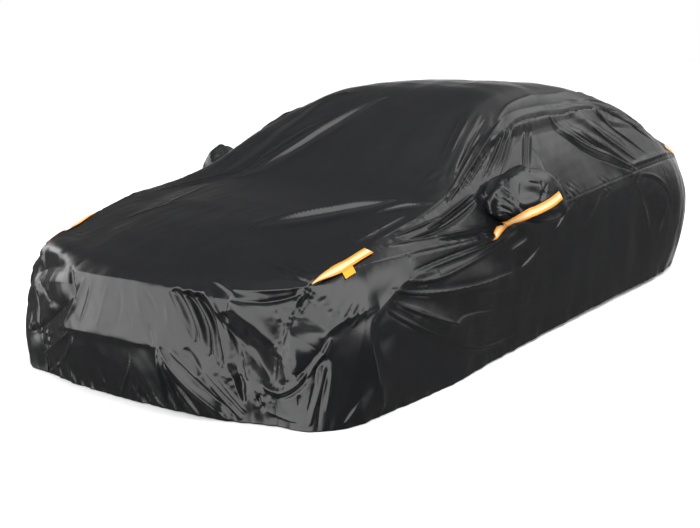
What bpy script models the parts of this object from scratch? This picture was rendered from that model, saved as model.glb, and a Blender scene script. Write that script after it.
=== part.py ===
"""Fitted cover of coated cloth, hollow and open below: a centre panel from front hem
to rear hem, a window panel and a side panel on each side, two mirror pockets, six
reflective strips and a label tab. Every panel is a loft through the tables below, and
neighbours share the points along their seam, less a small seam gap.

Metres, +Z up. The front faces -Y and the cover's left side is +X. z is 0 at the hem's
lowest point, and the cover is centred on x and y."""
from collections import namedtuple
from math import pi

import bmesh
import bpy
import numpy as np
from mathutils import Vector

CLOTH = 0.0020          # thickness of the cloth, as a solid
STRIP = 0.0010          # thickness of the reflective strips
SEAM = 0.0017           # each panel stops this far short of its seam line
STAND_OFF = 0.0020      # strips and label stand this far off the cloth under them
STRIP_WIDTH = 0.052
FRONT_ROWS = 8          # rows of the mesh down the front and rear faces
TOP_ROWS = 30           # rows from the front corner point to the rear one
CROSS_ROWS = 26         # columns across the centre panel
WINDOW_ROWS = 5         # rows from the roof seam to the belt seam
RING_SIDES = 22         # points round a mirror pocket

# The centre panel at each station along it: the middle point (x = 0), the point of the
# seam on the left, and the two powers that shape the crown between them.
Station = namedtuple("Station", "name y z seam_x seam_y seam_z crown root")
STATIONS = (
    Station("front hem", -2.265, 0.000, 0.670, -2.180, 0.000, 2.4, 1.00),
    Station("front bulge", -2.340, 0.270, 0.690, -2.200, 0.270, 2.4, 1.00),
    Station("bonnet edge", -2.310, 0.530, 0.763, -2.070, 0.570, 2.4, 1.00),
    Station("bonnet front", -2.050, 0.635, 0.800, -1.830, 0.640, 3.0, 0.90),
    Station("bonnet middle", -1.600, 0.740, 0.810, -1.450, 0.718, 3.4, 0.70),
    Station("screen foot", -1.080, 0.835, 0.755, -1.000, 0.800, 4.0, 0.60),
    Station("screen middle", -0.640, 1.050, 0.695, -0.560, 0.935, 4.0, 0.50),
    Station("roof front", -0.130, 1.235, 0.645, -0.120, 1.055, 4.0, 0.45),
    Station("roof middle", 0.400, 1.268, 0.625, 0.380, 1.075, 3.6, 0.45),
    Station("roof rear", 0.980, 1.228, 0.625, 0.950, 1.085, 3.4, 0.45),
    Station("rear glass", 1.470, 1.095, 0.645, 1.430, 1.015, 3.2, 0.50),
    Station("boot front", 1.850, 0.920, 0.700, 1.800, 0.855, 3.0, 0.60),
    Station("boot edge", 2.250, 0.800, 0.715, 2.170, 0.705, 2.8, 0.80),
    Station("rear bulge", 2.340, 0.420, 0.740, 2.230, 0.420, 2.6, 1.00),
    Station("rear hem", 2.160, 0.010, 0.640, 2.050, 0.010, 2.4, 1.00),
)
FRONT_CORNER, REAR_CORNER = 2, 12       # the stations where three seams meet

Point = namedtuple("Point", "x y z")
BELT = (                                # the belt seam, front corner to rear corner
    Point(0.763, -2.07, 0.570), Point(0.850, -1.84, 0.615), Point(0.895, -1.51, 0.620),
    Point(0.905, -1.24, 0.612), Point(0.915, -1.00, 0.612), Point(0.915, -0.72, 0.622),
    Point(0.905, -0.33, 0.650), Point(0.890, 0.10, 0.675), Point(0.875, 0.60, 0.700),
    Point(0.860, 1.05, 0.720), Point(0.825, 1.66, 0.735), Point(0.715, 2.17, 0.705),
)
HEM = (                                 # the side hem, front corner to rear corner
    Point(0.670, -2.180, 0.000), Point(0.805, -2.165, 0.000), Point(0.905, -2.06, 0.000),
    Point(0.945, -1.800, 0.000), Point(0.965, -1.400, 0.000), Point(0.945, -0.90, 0.005),
    Point(0.930, -0.430, 0.010), Point(0.915, 0.590, 0.025), Point(0.905, 1.19, 0.025),
    Point(0.865, 1.700, 0.020), Point(0.775, 1.970, 0.010), Point(0.640, 2.05, 0.010),
)
Bulge = namedtuple("Bulge", "along out")
SIDE_BULGES = (                         # how far the side stands out, by share of length
    Bulge(0.00, 0.060), Bulge(0.06, 0.105), Bulge(0.14, 0.060), Bulge(0.30, 0.020),
    Bulge(0.50, 0.022), Bulge(0.75, 0.030), Bulge(0.90, 0.080), Bulge(1.00, 0.090),
)
WINDOW_BULGE = 0.09                     # share of the height between its two seams

# The main folds: a ridge (height above 0) or a trough along a line near the cloth.
Fold = namedtuple("Fold", "name start end half_width height")
FOLDS = (
    Fold("right pillar bridge", (-0.74, -1.00, 0.82), (-0.62, 0.10, 1.15), 0.20, 0.055),
    Fold("right fender bridge", (-0.84, -1.75, 0.66), (-0.86, -0.85, 0.80), 0.16, 0.038),
    Fold("right front corner", (-0.80, -2.10, 0.50), (-0.86, -2.06, 0.05), 0.16, 0.030),
    Fold("screen ridge", (-0.43, -1.07, 0.83), (-0.06, -0.32, 1.18), 0.07, 0.018),
    Fold("screen foot fold", (0.24, -1.71, 0.71), (0.60, -1.21, 0.79), 0.08, 0.018),
    Fold("left pillar gather", (0.62, -0.78, 0.92), (0.52, -0.39, 1.11), 0.06, 0.018),
    Fold("front upper trough", (0.34, -2.29, 0.50), (0.41, -2.30, 0.31), 0.07, -0.022),
    Fold("front fan", (0.19, -2.33, 0.29), (0.43, -2.24, 0.02), 0.08, 0.026),
    Fold("front lip", (-0.36, -2.31, 0.29), (0.16, -2.33, 0.29), 0.07, -0.018),
    Fold("corner hollow", (0.50, -2.27, 0.42), (0.66, -2.21, 0.17), 0.11, -0.042),
    Fold("corner sag", (0.64, -2.21, 0.15), (0.83, -2.13, 0.29), 0.09, 0.024),
    Fold("corner band", (0.48, -2.22, 0.55), (0.73, -2.10, 0.57), 0.07, 0.018),
    Fold("right corner hollow", (-0.55, -2.24, 0.44), (-0.78, -2.12, 0.30), 0.11, -0.038),
    Fold("left fender hollow", (0.95, -1.52, 0.50), (0.97, -1.90, 0.40), 0.10, -0.026),
    Fold("left door fold, upper", (0.95, -1.60, 0.50), (0.95, -0.75, 0.40), 0.09, 0.022),
    Fold("left door fold, lower", (0.97, -1.77, 0.44), (0.98, -1.20, 0.24), 0.08, 0.020),
    Fold("left quarter ridge", (0.65, 0.32, 1.06), (0.86, 1.02, 0.72), 0.08, 0.022),
    Fold("left quarter ridge, rear", (0.64, 0.62, 1.08), (0.83, 1.16, 0.80), 0.07, 0.018),
    Fold("right door fold", (-0.95, -1.66, 0.48), (-0.94, -0.60, 0.34), 0.09, 0.020),
    Fold("right quarter ridge", (-0.65, 0.45, 1.06), (-0.86, 1.15, 0.70), 0.08, 0.020),
    Fold("rear left hollow", (0.42, 2.31, 0.60), (0.64, 2.26, 0.30), 0.10, -0.022),
    Fold("rear right hollow", (-0.50, 2.30, 0.55), (-0.66, 2.24, 0.22), 0.10, -0.026),
)

# A mirror pocket: an ellipse on the window panel, and rings that swell outwards from it.
POCKET_Y, POCKET_Z, POCKET_HALF_Y, POCKET_HALF_Z = -0.66, 0.735, 0.150, 0.095
HOLE_EDGE = 0.0022                      # the hole is this much larger than the pocket's mouth
Ring = namedtuple("Ring", "spread_y spread_z out back up")
RINGS = (
    Ring(1.00, 1.00, 0.000, 0.000, 0.000), Ring(1.06, 1.15, 0.035, 0.010, 0.010),
    Ring(1.14, 1.38, 0.075, 0.028, 0.026), Ring(1.14, 1.50, 0.115, 0.048, 0.040),
    Ring(1.02, 1.42, 0.155, 0.062, 0.046), Ring(0.80, 1.15, 0.188, 0.068, 0.048),
    Ring(0.45, 0.70, 0.208, 0.070, 0.048), Ring(0.08, 0.12, 0.215, 0.070, 0.048),
)
# The strip along a pocket's lower edge: ring number and angle, then its loose front end.
PocketStep = namedtuple("PocketStep", "ring degrees")
MIRROR_STRIP = (PocketStep(1.2, -132), PocketStep(2.5, -126), PocketStep(3.9, -118),
                PocketStep(4.9, -80), PocketStep(5.0, -20))
MIRROR_STRIP_WIDTH = 0.042
LOOSE_END = Point(0.945, -0.885, 0.612)
LABEL_SIZE = (0.062, 0.042)             # the label tab's length and drop
LABEL_AT = Point(0.848, -1.915, 0.592)


def through(knots, rows, at):
    """Smooth curve through rows at the knots, read at any place: cubic between two
    rows, with a slope at each row weighted by the spans on both sides."""
    knots, rows, at = np.asarray(knots, float), np.asarray(rows, float), np.asarray(at, float)
    span = np.diff(knots)
    rise = np.diff(rows, axis=0) / span[:, None]
    slope = np.vstack([rise[:1], (rise[:-1] * span[1:, None] + rise[1:] * span[:-1, None])
                       / (span[:-1] + span[1:])[:, None], rise[-1:]])
    i = np.clip(np.searchsorted(knots, at, side="right") - 1, 0, len(span) - 1)
    u, h = ((at - knots[i]) / span[i])[..., None], span[i][..., None]
    return ((2 * u**3 - 3 * u**2 + 1) * rows[i] + (u**3 - 2 * u**2 + u) * h * slope[i]
            + (3 * u**2 - 2 * u**3) * rows[i + 1] + (u**3 - u**2) * h * slope[i + 1])


def along(points, share):
    """The curve through a table of points, by share of its chord length."""
    rows = np.array(points, float)
    reach = np.r_[0, np.cumsum(np.linalg.norm(np.diff(rows, axis=0), axis=1))]
    return through(reach / reach[-1], rows, share)


def centre_surface(station, across):
    """Centre panel: station 0 at the front hem to 14 at the rear, across -1 to 1."""
    station, across = np.broadcast_arrays(np.asarray(station, float), np.asarray(across, float))
    row = through(np.arange(len(STATIONS)), [s[1:] for s in STATIONS], station)
    y, z, seam_x, seam_y, seam_z, crown, root = np.moveaxis(row, -1, 0)
    edge = np.clip(abs(across), 0, 1)
    return np.stack([seam_x * across, y + (seam_y - y) * edge**2.3,
                     z + (seam_z - z) * (1 - (1 - edge**crown)**root)], -1)


def belt_share(station):
    """Share of the belt seam that lies at the same y as the roof seam at a station."""
    shares = np.linspace(0, 1, 801)
    return np.interp(centre_surface(station, 1.0)[..., 1], along(BELT, shares)[:, 1], shares)


def window_surface(station, down):
    """Left window panel, from the roof seam (down 0) to the belt seam (down 1)."""
    station, down = np.broadcast_arrays(np.asarray(station, float), np.asarray(down, float))
    top, low = centre_surface(station, 1.0), along(BELT, belt_share(station))
    height = np.linalg.norm(top - low, axis=-1)
    bulge = (WINDOW_BULGE * height * 4 * down * (1 - down))[..., None]
    return top + (low - top) * down[..., None] + bulge * np.array([0.85, 0.0, 0.5])


def side_surface(share, down):
    """Left side panel, by share of the belt seam and from it (down 0) to the hem
    (down 1). It bulges outwards, and its two ends follow the centre panel's edge."""
    share, down = np.broadcast_arrays(np.asarray(share, float), np.asarray(down, float))

    def bulged(at):
        top, low = along(BELT, at), along(HEM, at)
        ahead, behind = np.clip(at + 1e-3, 0, 1), np.clip(at - 1e-3, 0, 1)
        run = along(BELT, ahead) + along(HEM, ahead) - along(BELT, behind) - along(HEM, behind)
        out = np.stack([run[..., 1], -run[..., 0], np.zeros_like(at)], -1)
        out /= np.linalg.norm(out, axis=-1)[..., None]
        size = np.interp(at, [b.along for b in SIDE_BULGES], [b.out for b in SIDE_BULGES])
        return top + (low - top) * down[..., None] + out * (size * 4 * down**0.8 * (1 - down**0.8))[..., None]

    points = bulged(share)
    for end, edge in ((0.0, centre_surface(FRONT_CORNER * (1 - down), 1.0)),
                      (1.0, centre_surface(REAR_CORNER + 2 * down, 1.0))):
        near = np.clip(1 - abs(share - end) / 0.10, 0, 1)
        points = points + (near**2 * (3 - 2 * near))[..., None] * (edge - bulged(np.full_like(down, end)))
    return points


def outward(points):
    """A smooth field of outward directions, the same on both sides of every seam."""
    x, y, z = np.moveaxis(points, -1, 0)
    field = np.stack([np.sign(x) * abs(x / 0.93)**4, np.sign(y) * abs(y / 2.33)**10,
                      0.45 * np.clip((z - 0.25) / 0.6, 0, 1) + 1e-3], -1)
    return field / np.linalg.norm(field, axis=-1)[..., None]


def folded(points):
    """Points moved out or in by every fold: a soft ridge that fades at its two ends."""
    height = np.zeros(points.shape[:-1])
    for fold in FOLDS:
        start, run = np.array(fold.start), np.array(fold.end) - np.array(fold.start)
        t = np.clip((points - start) @ run / (run @ run), 0, 1)
        off = np.linalg.norm(points - start - t[..., None] * run, axis=-1) / fold.half_width
        height += fold.height * np.exp(-2 * off**2) * np.sin(pi * (0.12 + 0.76 * t))
    return points + height[..., None] * outward(points)


def cloth_material(name, colour, roughness):
    material = bpy.data.materials.new(name)
    material.use_nodes = True
    shader = material.node_tree.nodes["Principled BSDF"]
    shader.inputs["Base Color"].default_value = (*colour, 1.0)
    shader.inputs["Roughness"].default_value = roughness
    shader.inputs["Metallic"].default_value = 0.0
    return material


def sheet(name, points, thickness, material, edges="", side=0, closed=False):
    """One sheet of cloth from rows of points, thickened inwards from its outer face
    (side 0) or outwards (side 1). edges names the edges that stop short at a seam: s and
    e for the first and last row, l and r for the first and last column. closed joins the
    last column to the first."""
    points = points.copy()
    for edge, here, there in (("s", np.s_[0], np.s_[1]), ("e", np.s_[-1], np.s_[-2]),
                              ("l", np.s_[:, 0], np.s_[:, 1]), ("r", np.s_[:, -1], np.s_[:, -2])):
        if edge in edges:
            inwards = points[there] - points[here]
            points[here] = points[here] + SEAM * inwards / np.linalg.norm(inwards, axis=-1)[..., None]
    rows, columns = points.shape[:2]
    bm = bmesh.new()
    if closed:                          # a tube of rows, with its last row filled
        for k in range(rows):
            bmesh.ops.create_circle(bm, segments=columns, radius=1.0)
        bm.verts.ensure_lookup_table()
        for k in range(rows - 1):
            a, b = bm.verts[k * columns:(k + 1) * columns], bm.verts[(k + 1) * columns:(k + 2) * columns]
            for i in range(columns):
                j = (i + 1) % columns
                bm.faces.new((a[i], a[j], b[j], b[i]))
        bm.faces.new(bm.verts[-columns:])
    else:
        bmesh.ops.create_grid(bm, x_segments=columns - 1, y_segments=rows - 1, size=1.0)
    bm.verts.ensure_lookup_table()
    for vert, place in zip(bm.verts, points.reshape(-1, 3)):
        vert.co = Vector(place)
    bm.normal_update()
    lean = sum(face.normal.dot(Vector(outward(np.array(face.calc_center_median())))) * face.calc_area()
               for face in bm.faces)
    if lean < 0:                        # the faces look into the hollow
        bmesh.ops.reverse_faces(bm, faces=bm.faces[:])
    mesh = bpy.data.meshes.new(name)
    bm.to_mesh(mesh)
    bm.free()
    mesh.shade_smooth()
    mesh.materials.append(material)
    thing = bpy.data.objects.new(name, mesh)
    parts.objects.link(thing)
    solidify = thing.modifiers.new("thickness", "SOLIDIFY")
    solidify.thickness = thickness
    solidify.offset = 1.0 if side else -1.0
    return thing


def band(points, normals, width):
    """Three rows of points along a line of centre points: a flat strip on the cloth."""
    run = np.gradient(points, axis=0)
    across = np.cross(normals, run)
    across /= np.linalg.norm(across, axis=-1)[:, None]
    half = np.broadcast_to(np.asarray(width, float) / 2, len(points))[:, None]
    return np.stack([points - half * across, points, points + half * across], 1)


def normals_of(surface, first, second):
    """Unit normals, away from the hollow, of a surface at pairs of its two parameters."""
    step = 1e-3
    a = folded(surface(first + step, second)) - folded(surface(first - step, second))
    b = folded(surface(first, second + step)) - folded(surface(first, second - step))
    n = np.cross(a, b)
    n /= np.linalg.norm(n, axis=-1)[..., None]
    here = surface(first, second)
    return n * np.sign((n * outward(here)).sum(-1))[..., None]


def pocket_surface(ring, angle, mirror):
    """A mirror pocket: ring 0 lies on the window panel, the last ring is its end."""
    ring, angle = np.broadcast_arrays(np.asarray(ring, float), np.asarray(angle, float))
    spread_y, spread_z, out, back, up = np.moveaxis(through(np.arange(len(RINGS)), RINGS, ring), -1, 0)
    station, down = np.meshgrid(np.linspace(4.5, 7.5, 120), np.linspace(0, 1, 60), indexing="ij")
    panel = (folded(window_surface(station, down) * mirror) * mirror).reshape(-1, 3)

    def panel_x(y, z):
        apart = (y.reshape(-1, 1) - panel[:, 1])**2 + (z.reshape(-1, 1) - panel[:, 2])**2
        return panel[apart.argmin(1), 0].reshape(y.shape)

    rim_x = panel_x(POCKET_Y + POCKET_HALF_Y * np.cos(angle), POCKET_Z + POCKET_HALF_Z * np.sin(angle))
    mid_x = panel_x(np.full_like(ring, POCKET_Y), np.full_like(ring, POCKET_Z))
    share = np.clip(ring / 3, 0, 1)
    return np.stack([rim_x * (1 - share) + mid_x * share + out,
                     POCKET_Y + back + POCKET_HALF_Y * spread_y * np.cos(angle),
                     POCKET_Z + up + POCKET_HALF_Z * spread_z * np.sin(angle)], -1) * mirror


for old in list(bpy.data.objects):
    bpy.data.objects.remove(old)
parts = bpy.data.collections.new("car cover")
cutters = bpy.data.collections.new("cutters")
for collection in (parts, cutters):
    bpy.context.scene.collection.children.link(collection)

black = cloth_material("coated polyester", (0.030, 0.031, 0.033), 0.42)
reflective = cloth_material("reflective strip", (0.90, 0.62, 0.25), 0.35)
label = cloth_material("label tab", (0.85, 0.55, 0.03), 0.60)

# Rows from the front corner point to the rear one. The window panels leave out the first
# and last, where their two seams meet.
top_rows = np.linspace(FRONT_CORNER, REAR_CORNER, TOP_ROWS + 1)
down_rows = np.linspace(0, 1, FRONT_ROWS + 1)
all_rows = np.r_[FRONT_CORNER * down_rows[:-1], top_rows, REAR_CORNER + 2 * down_rows[1:]]
even = np.linspace(-1, 1, CROSS_ROWS + 1)
across = 0.55 * np.sin(even * pi / 2) + 0.45 * even         # closer together at the seams

station_grid, across_grid = np.meshgrid(all_rows, across, indexing="ij")
sheet("centre_panel", folded(centre_surface(station_grid, across_grid)), CLOTH, black, "lr")

for hand, sign in (("left", 1.0), ("right", -1.0)):
    mirror = np.array([sign, 1.0, 1.0])
    stations, downs = np.meshgrid(top_rows[1:-1], np.linspace(0, 1, WINDOW_ROWS + 1), indexing="ij")
    window = sheet(f"window_panel_{hand}", folded(window_surface(stations, downs) * mirror),
                   CLOTH, black, "selr")
    shares, downs = np.meshgrid(belt_share(top_rows), down_rows, indexing="ij")
    sheet(f"side_panel_{hand}", folded(side_surface(shares, downs) * mirror), CLOTH, black, "sel")

    # The hole in the window panel that the mirror pocket is sewn round.
    bpy.ops.mesh.primitive_cylinder_add(vertices=RING_SIDES * 2, radius=1.0, depth=0.5,
                                        location=(sign * 0.86, POCKET_Y, POCKET_Z), rotation=(0, pi / 2, 0))
    cutter = bpy.context.object
    cutter.name = f"pocket_hole_{hand}"
    cutter.scale = (POCKET_HALF_Z + HOLE_EDGE, POCKET_HALF_Y + HOLE_EDGE, 1.0)
    for collection in list(cutter.users_collection):
        collection.objects.unlink(cutter)
    cutters.objects.link(cutter)
    cutter.hide_render, cutter.display_type = True, "WIRE"
    hole = window.modifiers.new("pocket hole", "BOOLEAN")
    hole.object, hole.operation, hole.solver = cutter, "DIFFERENCE", "EXACT"

    rings, angles = np.meshgrid(np.arange(len(RINGS)), np.arange(RING_SIDES) * 2 * pi / RING_SIDES, indexing="ij")
    sheet(f"mirror_pocket_{hand}", pocket_surface(rings, angles, mirror), CLOTH, black, closed=True)

    # Front and rear strips lie on the window panel just below the roof seam, and narrow
    # to a point at the corner where the seams meet.
    for end, first, last, widest in (("front", 2.10, 3.28, STRIP_WIDTH), ("rear", 11.90, 11.28, STRIP_WIDTH * 0.8)):
        at = np.linspace(first, last, 13)
        height = np.linalg.norm(centre_surface(at, 1.0) - along(BELT, belt_share(at)), axis=-1)
        width = widest * np.clip(0.16 + abs(at - first) / 0.38, 0, 1)
        middle = np.clip((0.62 * width + 0.004) / height, 0, 0.5)
        points, normals = folded(window_surface(at, middle) * mirror), normals_of(window_surface, at, middle) * mirror
        sheet(f"{end}_strip_{hand}", band(points + normals * STAND_OFF, normals, width), STRIP, reflective, side=1)

    steps = through(np.arange(len(MIRROR_STRIP)), MIRROR_STRIP, np.linspace(0, len(MIRROR_STRIP) - 1, 12))
    ring, angle = steps[:, 0], np.radians(steps[:, 1])
    e = 1e-3
    normals = np.cross(pocket_surface(ring + e, angle, mirror) - pocket_surface(ring - e, angle, mirror),
                       pocket_surface(ring, angle + e, mirror) - pocket_surface(ring, angle - e, mirror))
    normals /= np.linalg.norm(normals, axis=-1)[:, None]
    middle = pocket_surface(ring, angle, mirror)
    away = middle - np.array([0.93, POCKET_Y + 0.03, POCKET_Z + 0.03]) * mirror
    normals *= np.sign((normals * away).sum(-1))[:, None]
    points = middle + normals * 2 * STAND_OFF
    points = np.vstack([np.linspace(np.array(LOOSE_END) * mirror, points[0], 4)[:3], points])
    normals = np.vstack([np.repeat(normals[:1], 3, 0), normals])
    sheet(f"mirror_strip_{hand}", band(points, normals, MIRROR_STRIP_WIDTH), STRIP, reflective, side=1)

# The label tab hangs flat against the cloth from the near strip's lower edge.
long, drop = LABEL_SIZE
share = np.linspace(-0.5, 0.5, 2)
forward, hang = np.array([0.30, 0.92, 0.24]), np.array([0.45, -0.05, -0.89])
forward, hang = forward / np.linalg.norm(forward), hang / np.linalg.norm(hang)
corners = np.array(LABEL_AT) + long * share[:, None, None] * forward + drop * share[None, :, None] * hang
sheet("label_tab", corners, STRIP, label, side=1)
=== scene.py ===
"""The looks of the fitted car cover: fine sheets of black coated cloth on the folds of its
solids, reflective tape, a label and stitching, in a plain pale studio. Metres, +Z up, the
cover's front towards -Y and its left side towards +X, z = 0 at the lowest point of the hem."""
from collections import namedtuple
from math import degrees, pi, radians

import bpy
import numpy as np
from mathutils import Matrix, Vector
from mathutils.bvhtree import BVHTree


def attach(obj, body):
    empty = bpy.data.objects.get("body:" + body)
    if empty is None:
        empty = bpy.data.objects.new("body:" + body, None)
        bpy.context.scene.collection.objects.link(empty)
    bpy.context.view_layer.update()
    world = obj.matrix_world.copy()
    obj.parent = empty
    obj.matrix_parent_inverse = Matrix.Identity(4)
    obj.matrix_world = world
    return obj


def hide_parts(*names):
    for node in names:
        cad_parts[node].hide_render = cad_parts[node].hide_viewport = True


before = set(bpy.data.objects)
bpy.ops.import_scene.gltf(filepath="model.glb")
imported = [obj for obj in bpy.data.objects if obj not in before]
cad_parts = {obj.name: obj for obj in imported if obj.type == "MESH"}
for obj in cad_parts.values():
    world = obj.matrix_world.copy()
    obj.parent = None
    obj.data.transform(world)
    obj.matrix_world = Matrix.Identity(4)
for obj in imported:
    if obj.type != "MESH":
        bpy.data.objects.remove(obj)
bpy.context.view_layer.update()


# ---- Camera ---------------------------------------------------------------------------
# The photograph's viewpoint: at eye height, beyond the cover's left front corner. The two
# shifts move the picture's centre to where the lens axis meets the photograph.
PHOTO_WIDTH, PHOTO_HEIGHT = 700, 528
SENSOR_WIDTH = 36.0                      # millimetres
FOCAL_PIXELS = 1160.6                    # focal length, in pixels of the photograph
AXIS_PIXEL = (363.9, 254.5)              # where the lens axis meets the photograph
CAMERA_AT = (3.453, -5.629, 1.538)
CAMERA_PITCH, CAMERA_TURN = 10.77, 34.4  # degrees down, and from +Y towards -X

lens = bpy.data.cameras.new("camera")
lens.sensor_width = SENSOR_WIDTH
lens.lens = FOCAL_PIXELS * SENSOR_WIDTH / PHOTO_WIDTH
lens.shift_x = (PHOTO_WIDTH / 2 - AXIS_PIXEL[0]) / PHOTO_WIDTH
lens.shift_y = (AXIS_PIXEL[1] - PHOTO_HEIGHT / 2) / PHOTO_WIDTH
camera = bpy.data.objects.new("camera", lens)
camera.location = CAMERA_AT
camera.rotation_euler = (radians(90 - CAMERA_PITCH), 0, radians(CAMERA_TURN))
bpy.context.scene.collection.objects.link(camera)
bpy.context.scene.camera = camera
bpy.context.view_layer.update()


def as_solid(mesh):
    """The points of a mesh, and a tree of its faces for ray casting."""
    points = np.empty(len(mesh.vertices) * 3)
    mesh.vertices.foreach_get("co", points)
    points = points.reshape(-1, 3)
    faces = [tuple(face.vertices) for face in mesh.polygons]
    return points, BVHTree.FromPolygons(points.tolist(), faces)


solids = {name: as_solid(node.data) for name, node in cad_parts.items()}


def under_pixel(pixel, nodes):
    """The point of the solids that shows at a pixel of the photograph: the first one that
    a ray from the camera meets, or the solids' vertex nearest to the ray beside them."""
    turn = camera.matrix_world.to_3x3()
    ray = turn @ Vector(((pixel[0] - AXIS_PIXEL[0]) / FOCAL_PIXELS,
                         (AXIS_PIXEL[1] - pixel[1]) / FOCAL_PIXELS, -1.0)).normalized()
    hits = [solids[n][1].ray_cast(camera.location, ray)[0] for n in nodes]
    hits = [np.array(place) for place in hits if place is not None]
    if hits:
        return min(hits, key=lambda place: np.linalg.norm(place - CAMERA_AT))
    points = np.concatenate([solids[n][0] for n in nodes]) - CAMERA_AT
    along_ray = points @ np.array(ray)
    aside = np.linalg.norm(points - along_ray[:, None] * np.array(ray), axis=1)
    return points[aside.argmin()] + CAMERA_AT


# ---- Centre panel ---------------------------------------------------------------------
# One long panel of coated polyester from the front hem over bonnet, screen, roof and boot
# to the rear hem, cut to shape and sewn along both edges, with a turned and sewn hem.
# At each station: the middle point, the point of the left seam, and two powers for the crown.
Station = namedtuple("Station", "name y z seam_x seam_y seam_z crown root")
STATIONS = (
    Station("front hem", -2.265, 0.000, 0.670, -2.180, 0.000, 2.4, 1.00),
    Station("front bulge", -2.340, 0.270, 0.690, -2.200, 0.270, 2.4, 1.00),
    Station("bonnet edge", -2.310, 0.530, 0.763, -2.070, 0.570, 2.4, 1.00),
    Station("bonnet front", -2.050, 0.635, 0.800, -1.830, 0.640, 3.0, 0.90),
    Station("bonnet middle", -1.600, 0.740, 0.810, -1.450, 0.718, 3.4, 0.70),
    Station("screen foot", -1.080, 0.835, 0.755, -1.000, 0.800, 4.0, 0.60),
    Station("screen middle", -0.640, 1.050, 0.695, -0.560, 0.935, 4.0, 0.50),
    Station("roof front", -0.130, 1.235, 0.645, -0.120, 1.055, 4.0, 0.45),
    Station("roof middle", 0.400, 1.268, 0.625, 0.380, 1.075, 3.6, 0.45),
    Station("roof rear", 0.980, 1.228, 0.625, 0.950, 1.085, 3.4, 0.45),
    Station("rear glass", 1.470, 1.095, 0.645, 1.430, 1.015, 3.2, 0.50),
    Station("boot front", 1.850, 0.920, 0.700, 1.800, 0.855, 3.0, 0.60),
    Station("boot edge", 2.250, 0.800, 0.715, 2.170, 0.705, 2.8, 0.80),
    Station("rear bulge", 2.340, 0.420, 0.740, 2.230, 0.420, 2.6, 1.00),
    Station("rear hem", 2.160, 0.010, 0.640, 2.050, 0.010, 2.4, 1.00),
)
FRONT_CORNER, REAR_CORNER = 2, 12        # the stations where three seams meet
SEAM_SWEEP = 2.3                         # power with which a cross line sweeps to the seam
PANELS = [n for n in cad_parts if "panel" in n]


def through(knots, rows, at):
    """Smooth curve through rows at the knots: cubic between two rows, with a slope at each
    row that is the mean of its two neighbours' slopes, each weighted by the other's span."""
    knots, rows, at = np.asarray(knots, float), np.asarray(rows, float), np.asarray(at, float)
    span = np.diff(knots)
    rise = np.diff(rows, axis=0) / span[:, None]
    slope = np.vstack([rise[:1], (rise[:-1] * span[1:, None] + rise[1:] * span[:-1, None])
                       / (span[:-1] + span[1:])[:, None], rise[-1:]])
    i = np.clip(np.searchsorted(knots, at, side="right") - 1, 0, len(span) - 1)
    u, h = ((at - knots[i]) / span[i])[..., None], span[i][..., None]
    return ((2 * u**3 - 3 * u**2 + 1) * rows[i] + (u**3 - 2 * u**2 + u) * h * slope[i]
            + (3 * u**2 - 2 * u**3) * rows[i + 1] + (u**3 - u**2) * h * slope[i + 1])


def centre_surface(station, across):
    """Station 0 at the front hem to 14 at the rear, across -1 to 1. x is the seam's x times
    across, and y and z go from the middle's to the seam's with powers of across."""
    station, across = np.broadcast_arrays(np.asarray(station, float), np.asarray(across, float))
    row = through(np.arange(len(STATIONS)), [s[1:] for s in STATIONS], station)
    y, z, seam_x, seam_y, seam_z, crown, root = np.moveaxis(row, -1, 0)
    edge = np.clip(abs(across), 0, 1)
    return np.stack([seam_x * across, y + (seam_y - y) * edge**SEAM_SWEEP,
                     z + (seam_z - z) * (1 - (1 - edge**crown)**root)], -1)


def unit(vectors, least=0.0):
    """Vectors over their lengths, with least added to the length where it can be zero."""
    return vectors / (np.linalg.norm(vectors, axis=-1)[..., None] + least)


HALF_WIDTH, HALF_LENGTH = 0.93, 2.33
UPWARD, UPWARD_FROM, UPWARD_OVER = 0.45, 0.25, 0.6


def outward(points):
    """A smooth field of outward directions, the same on both sides of every seam: x over the
    half width to the 4th, y over the half length to the 10th, and up above the sides."""
    x, y, z = np.moveaxis(points, -1, 0)
    return unit(np.stack([np.sign(x) * abs(x / HALF_WIDTH)**4,
                          np.sign(y) * abs(y / HALF_LENGTH)**10,
                          UPWARD * np.clip((z - UPWARD_FROM) / UPWARD_OVER, 0, 1) + 1e-3], -1))


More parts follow.
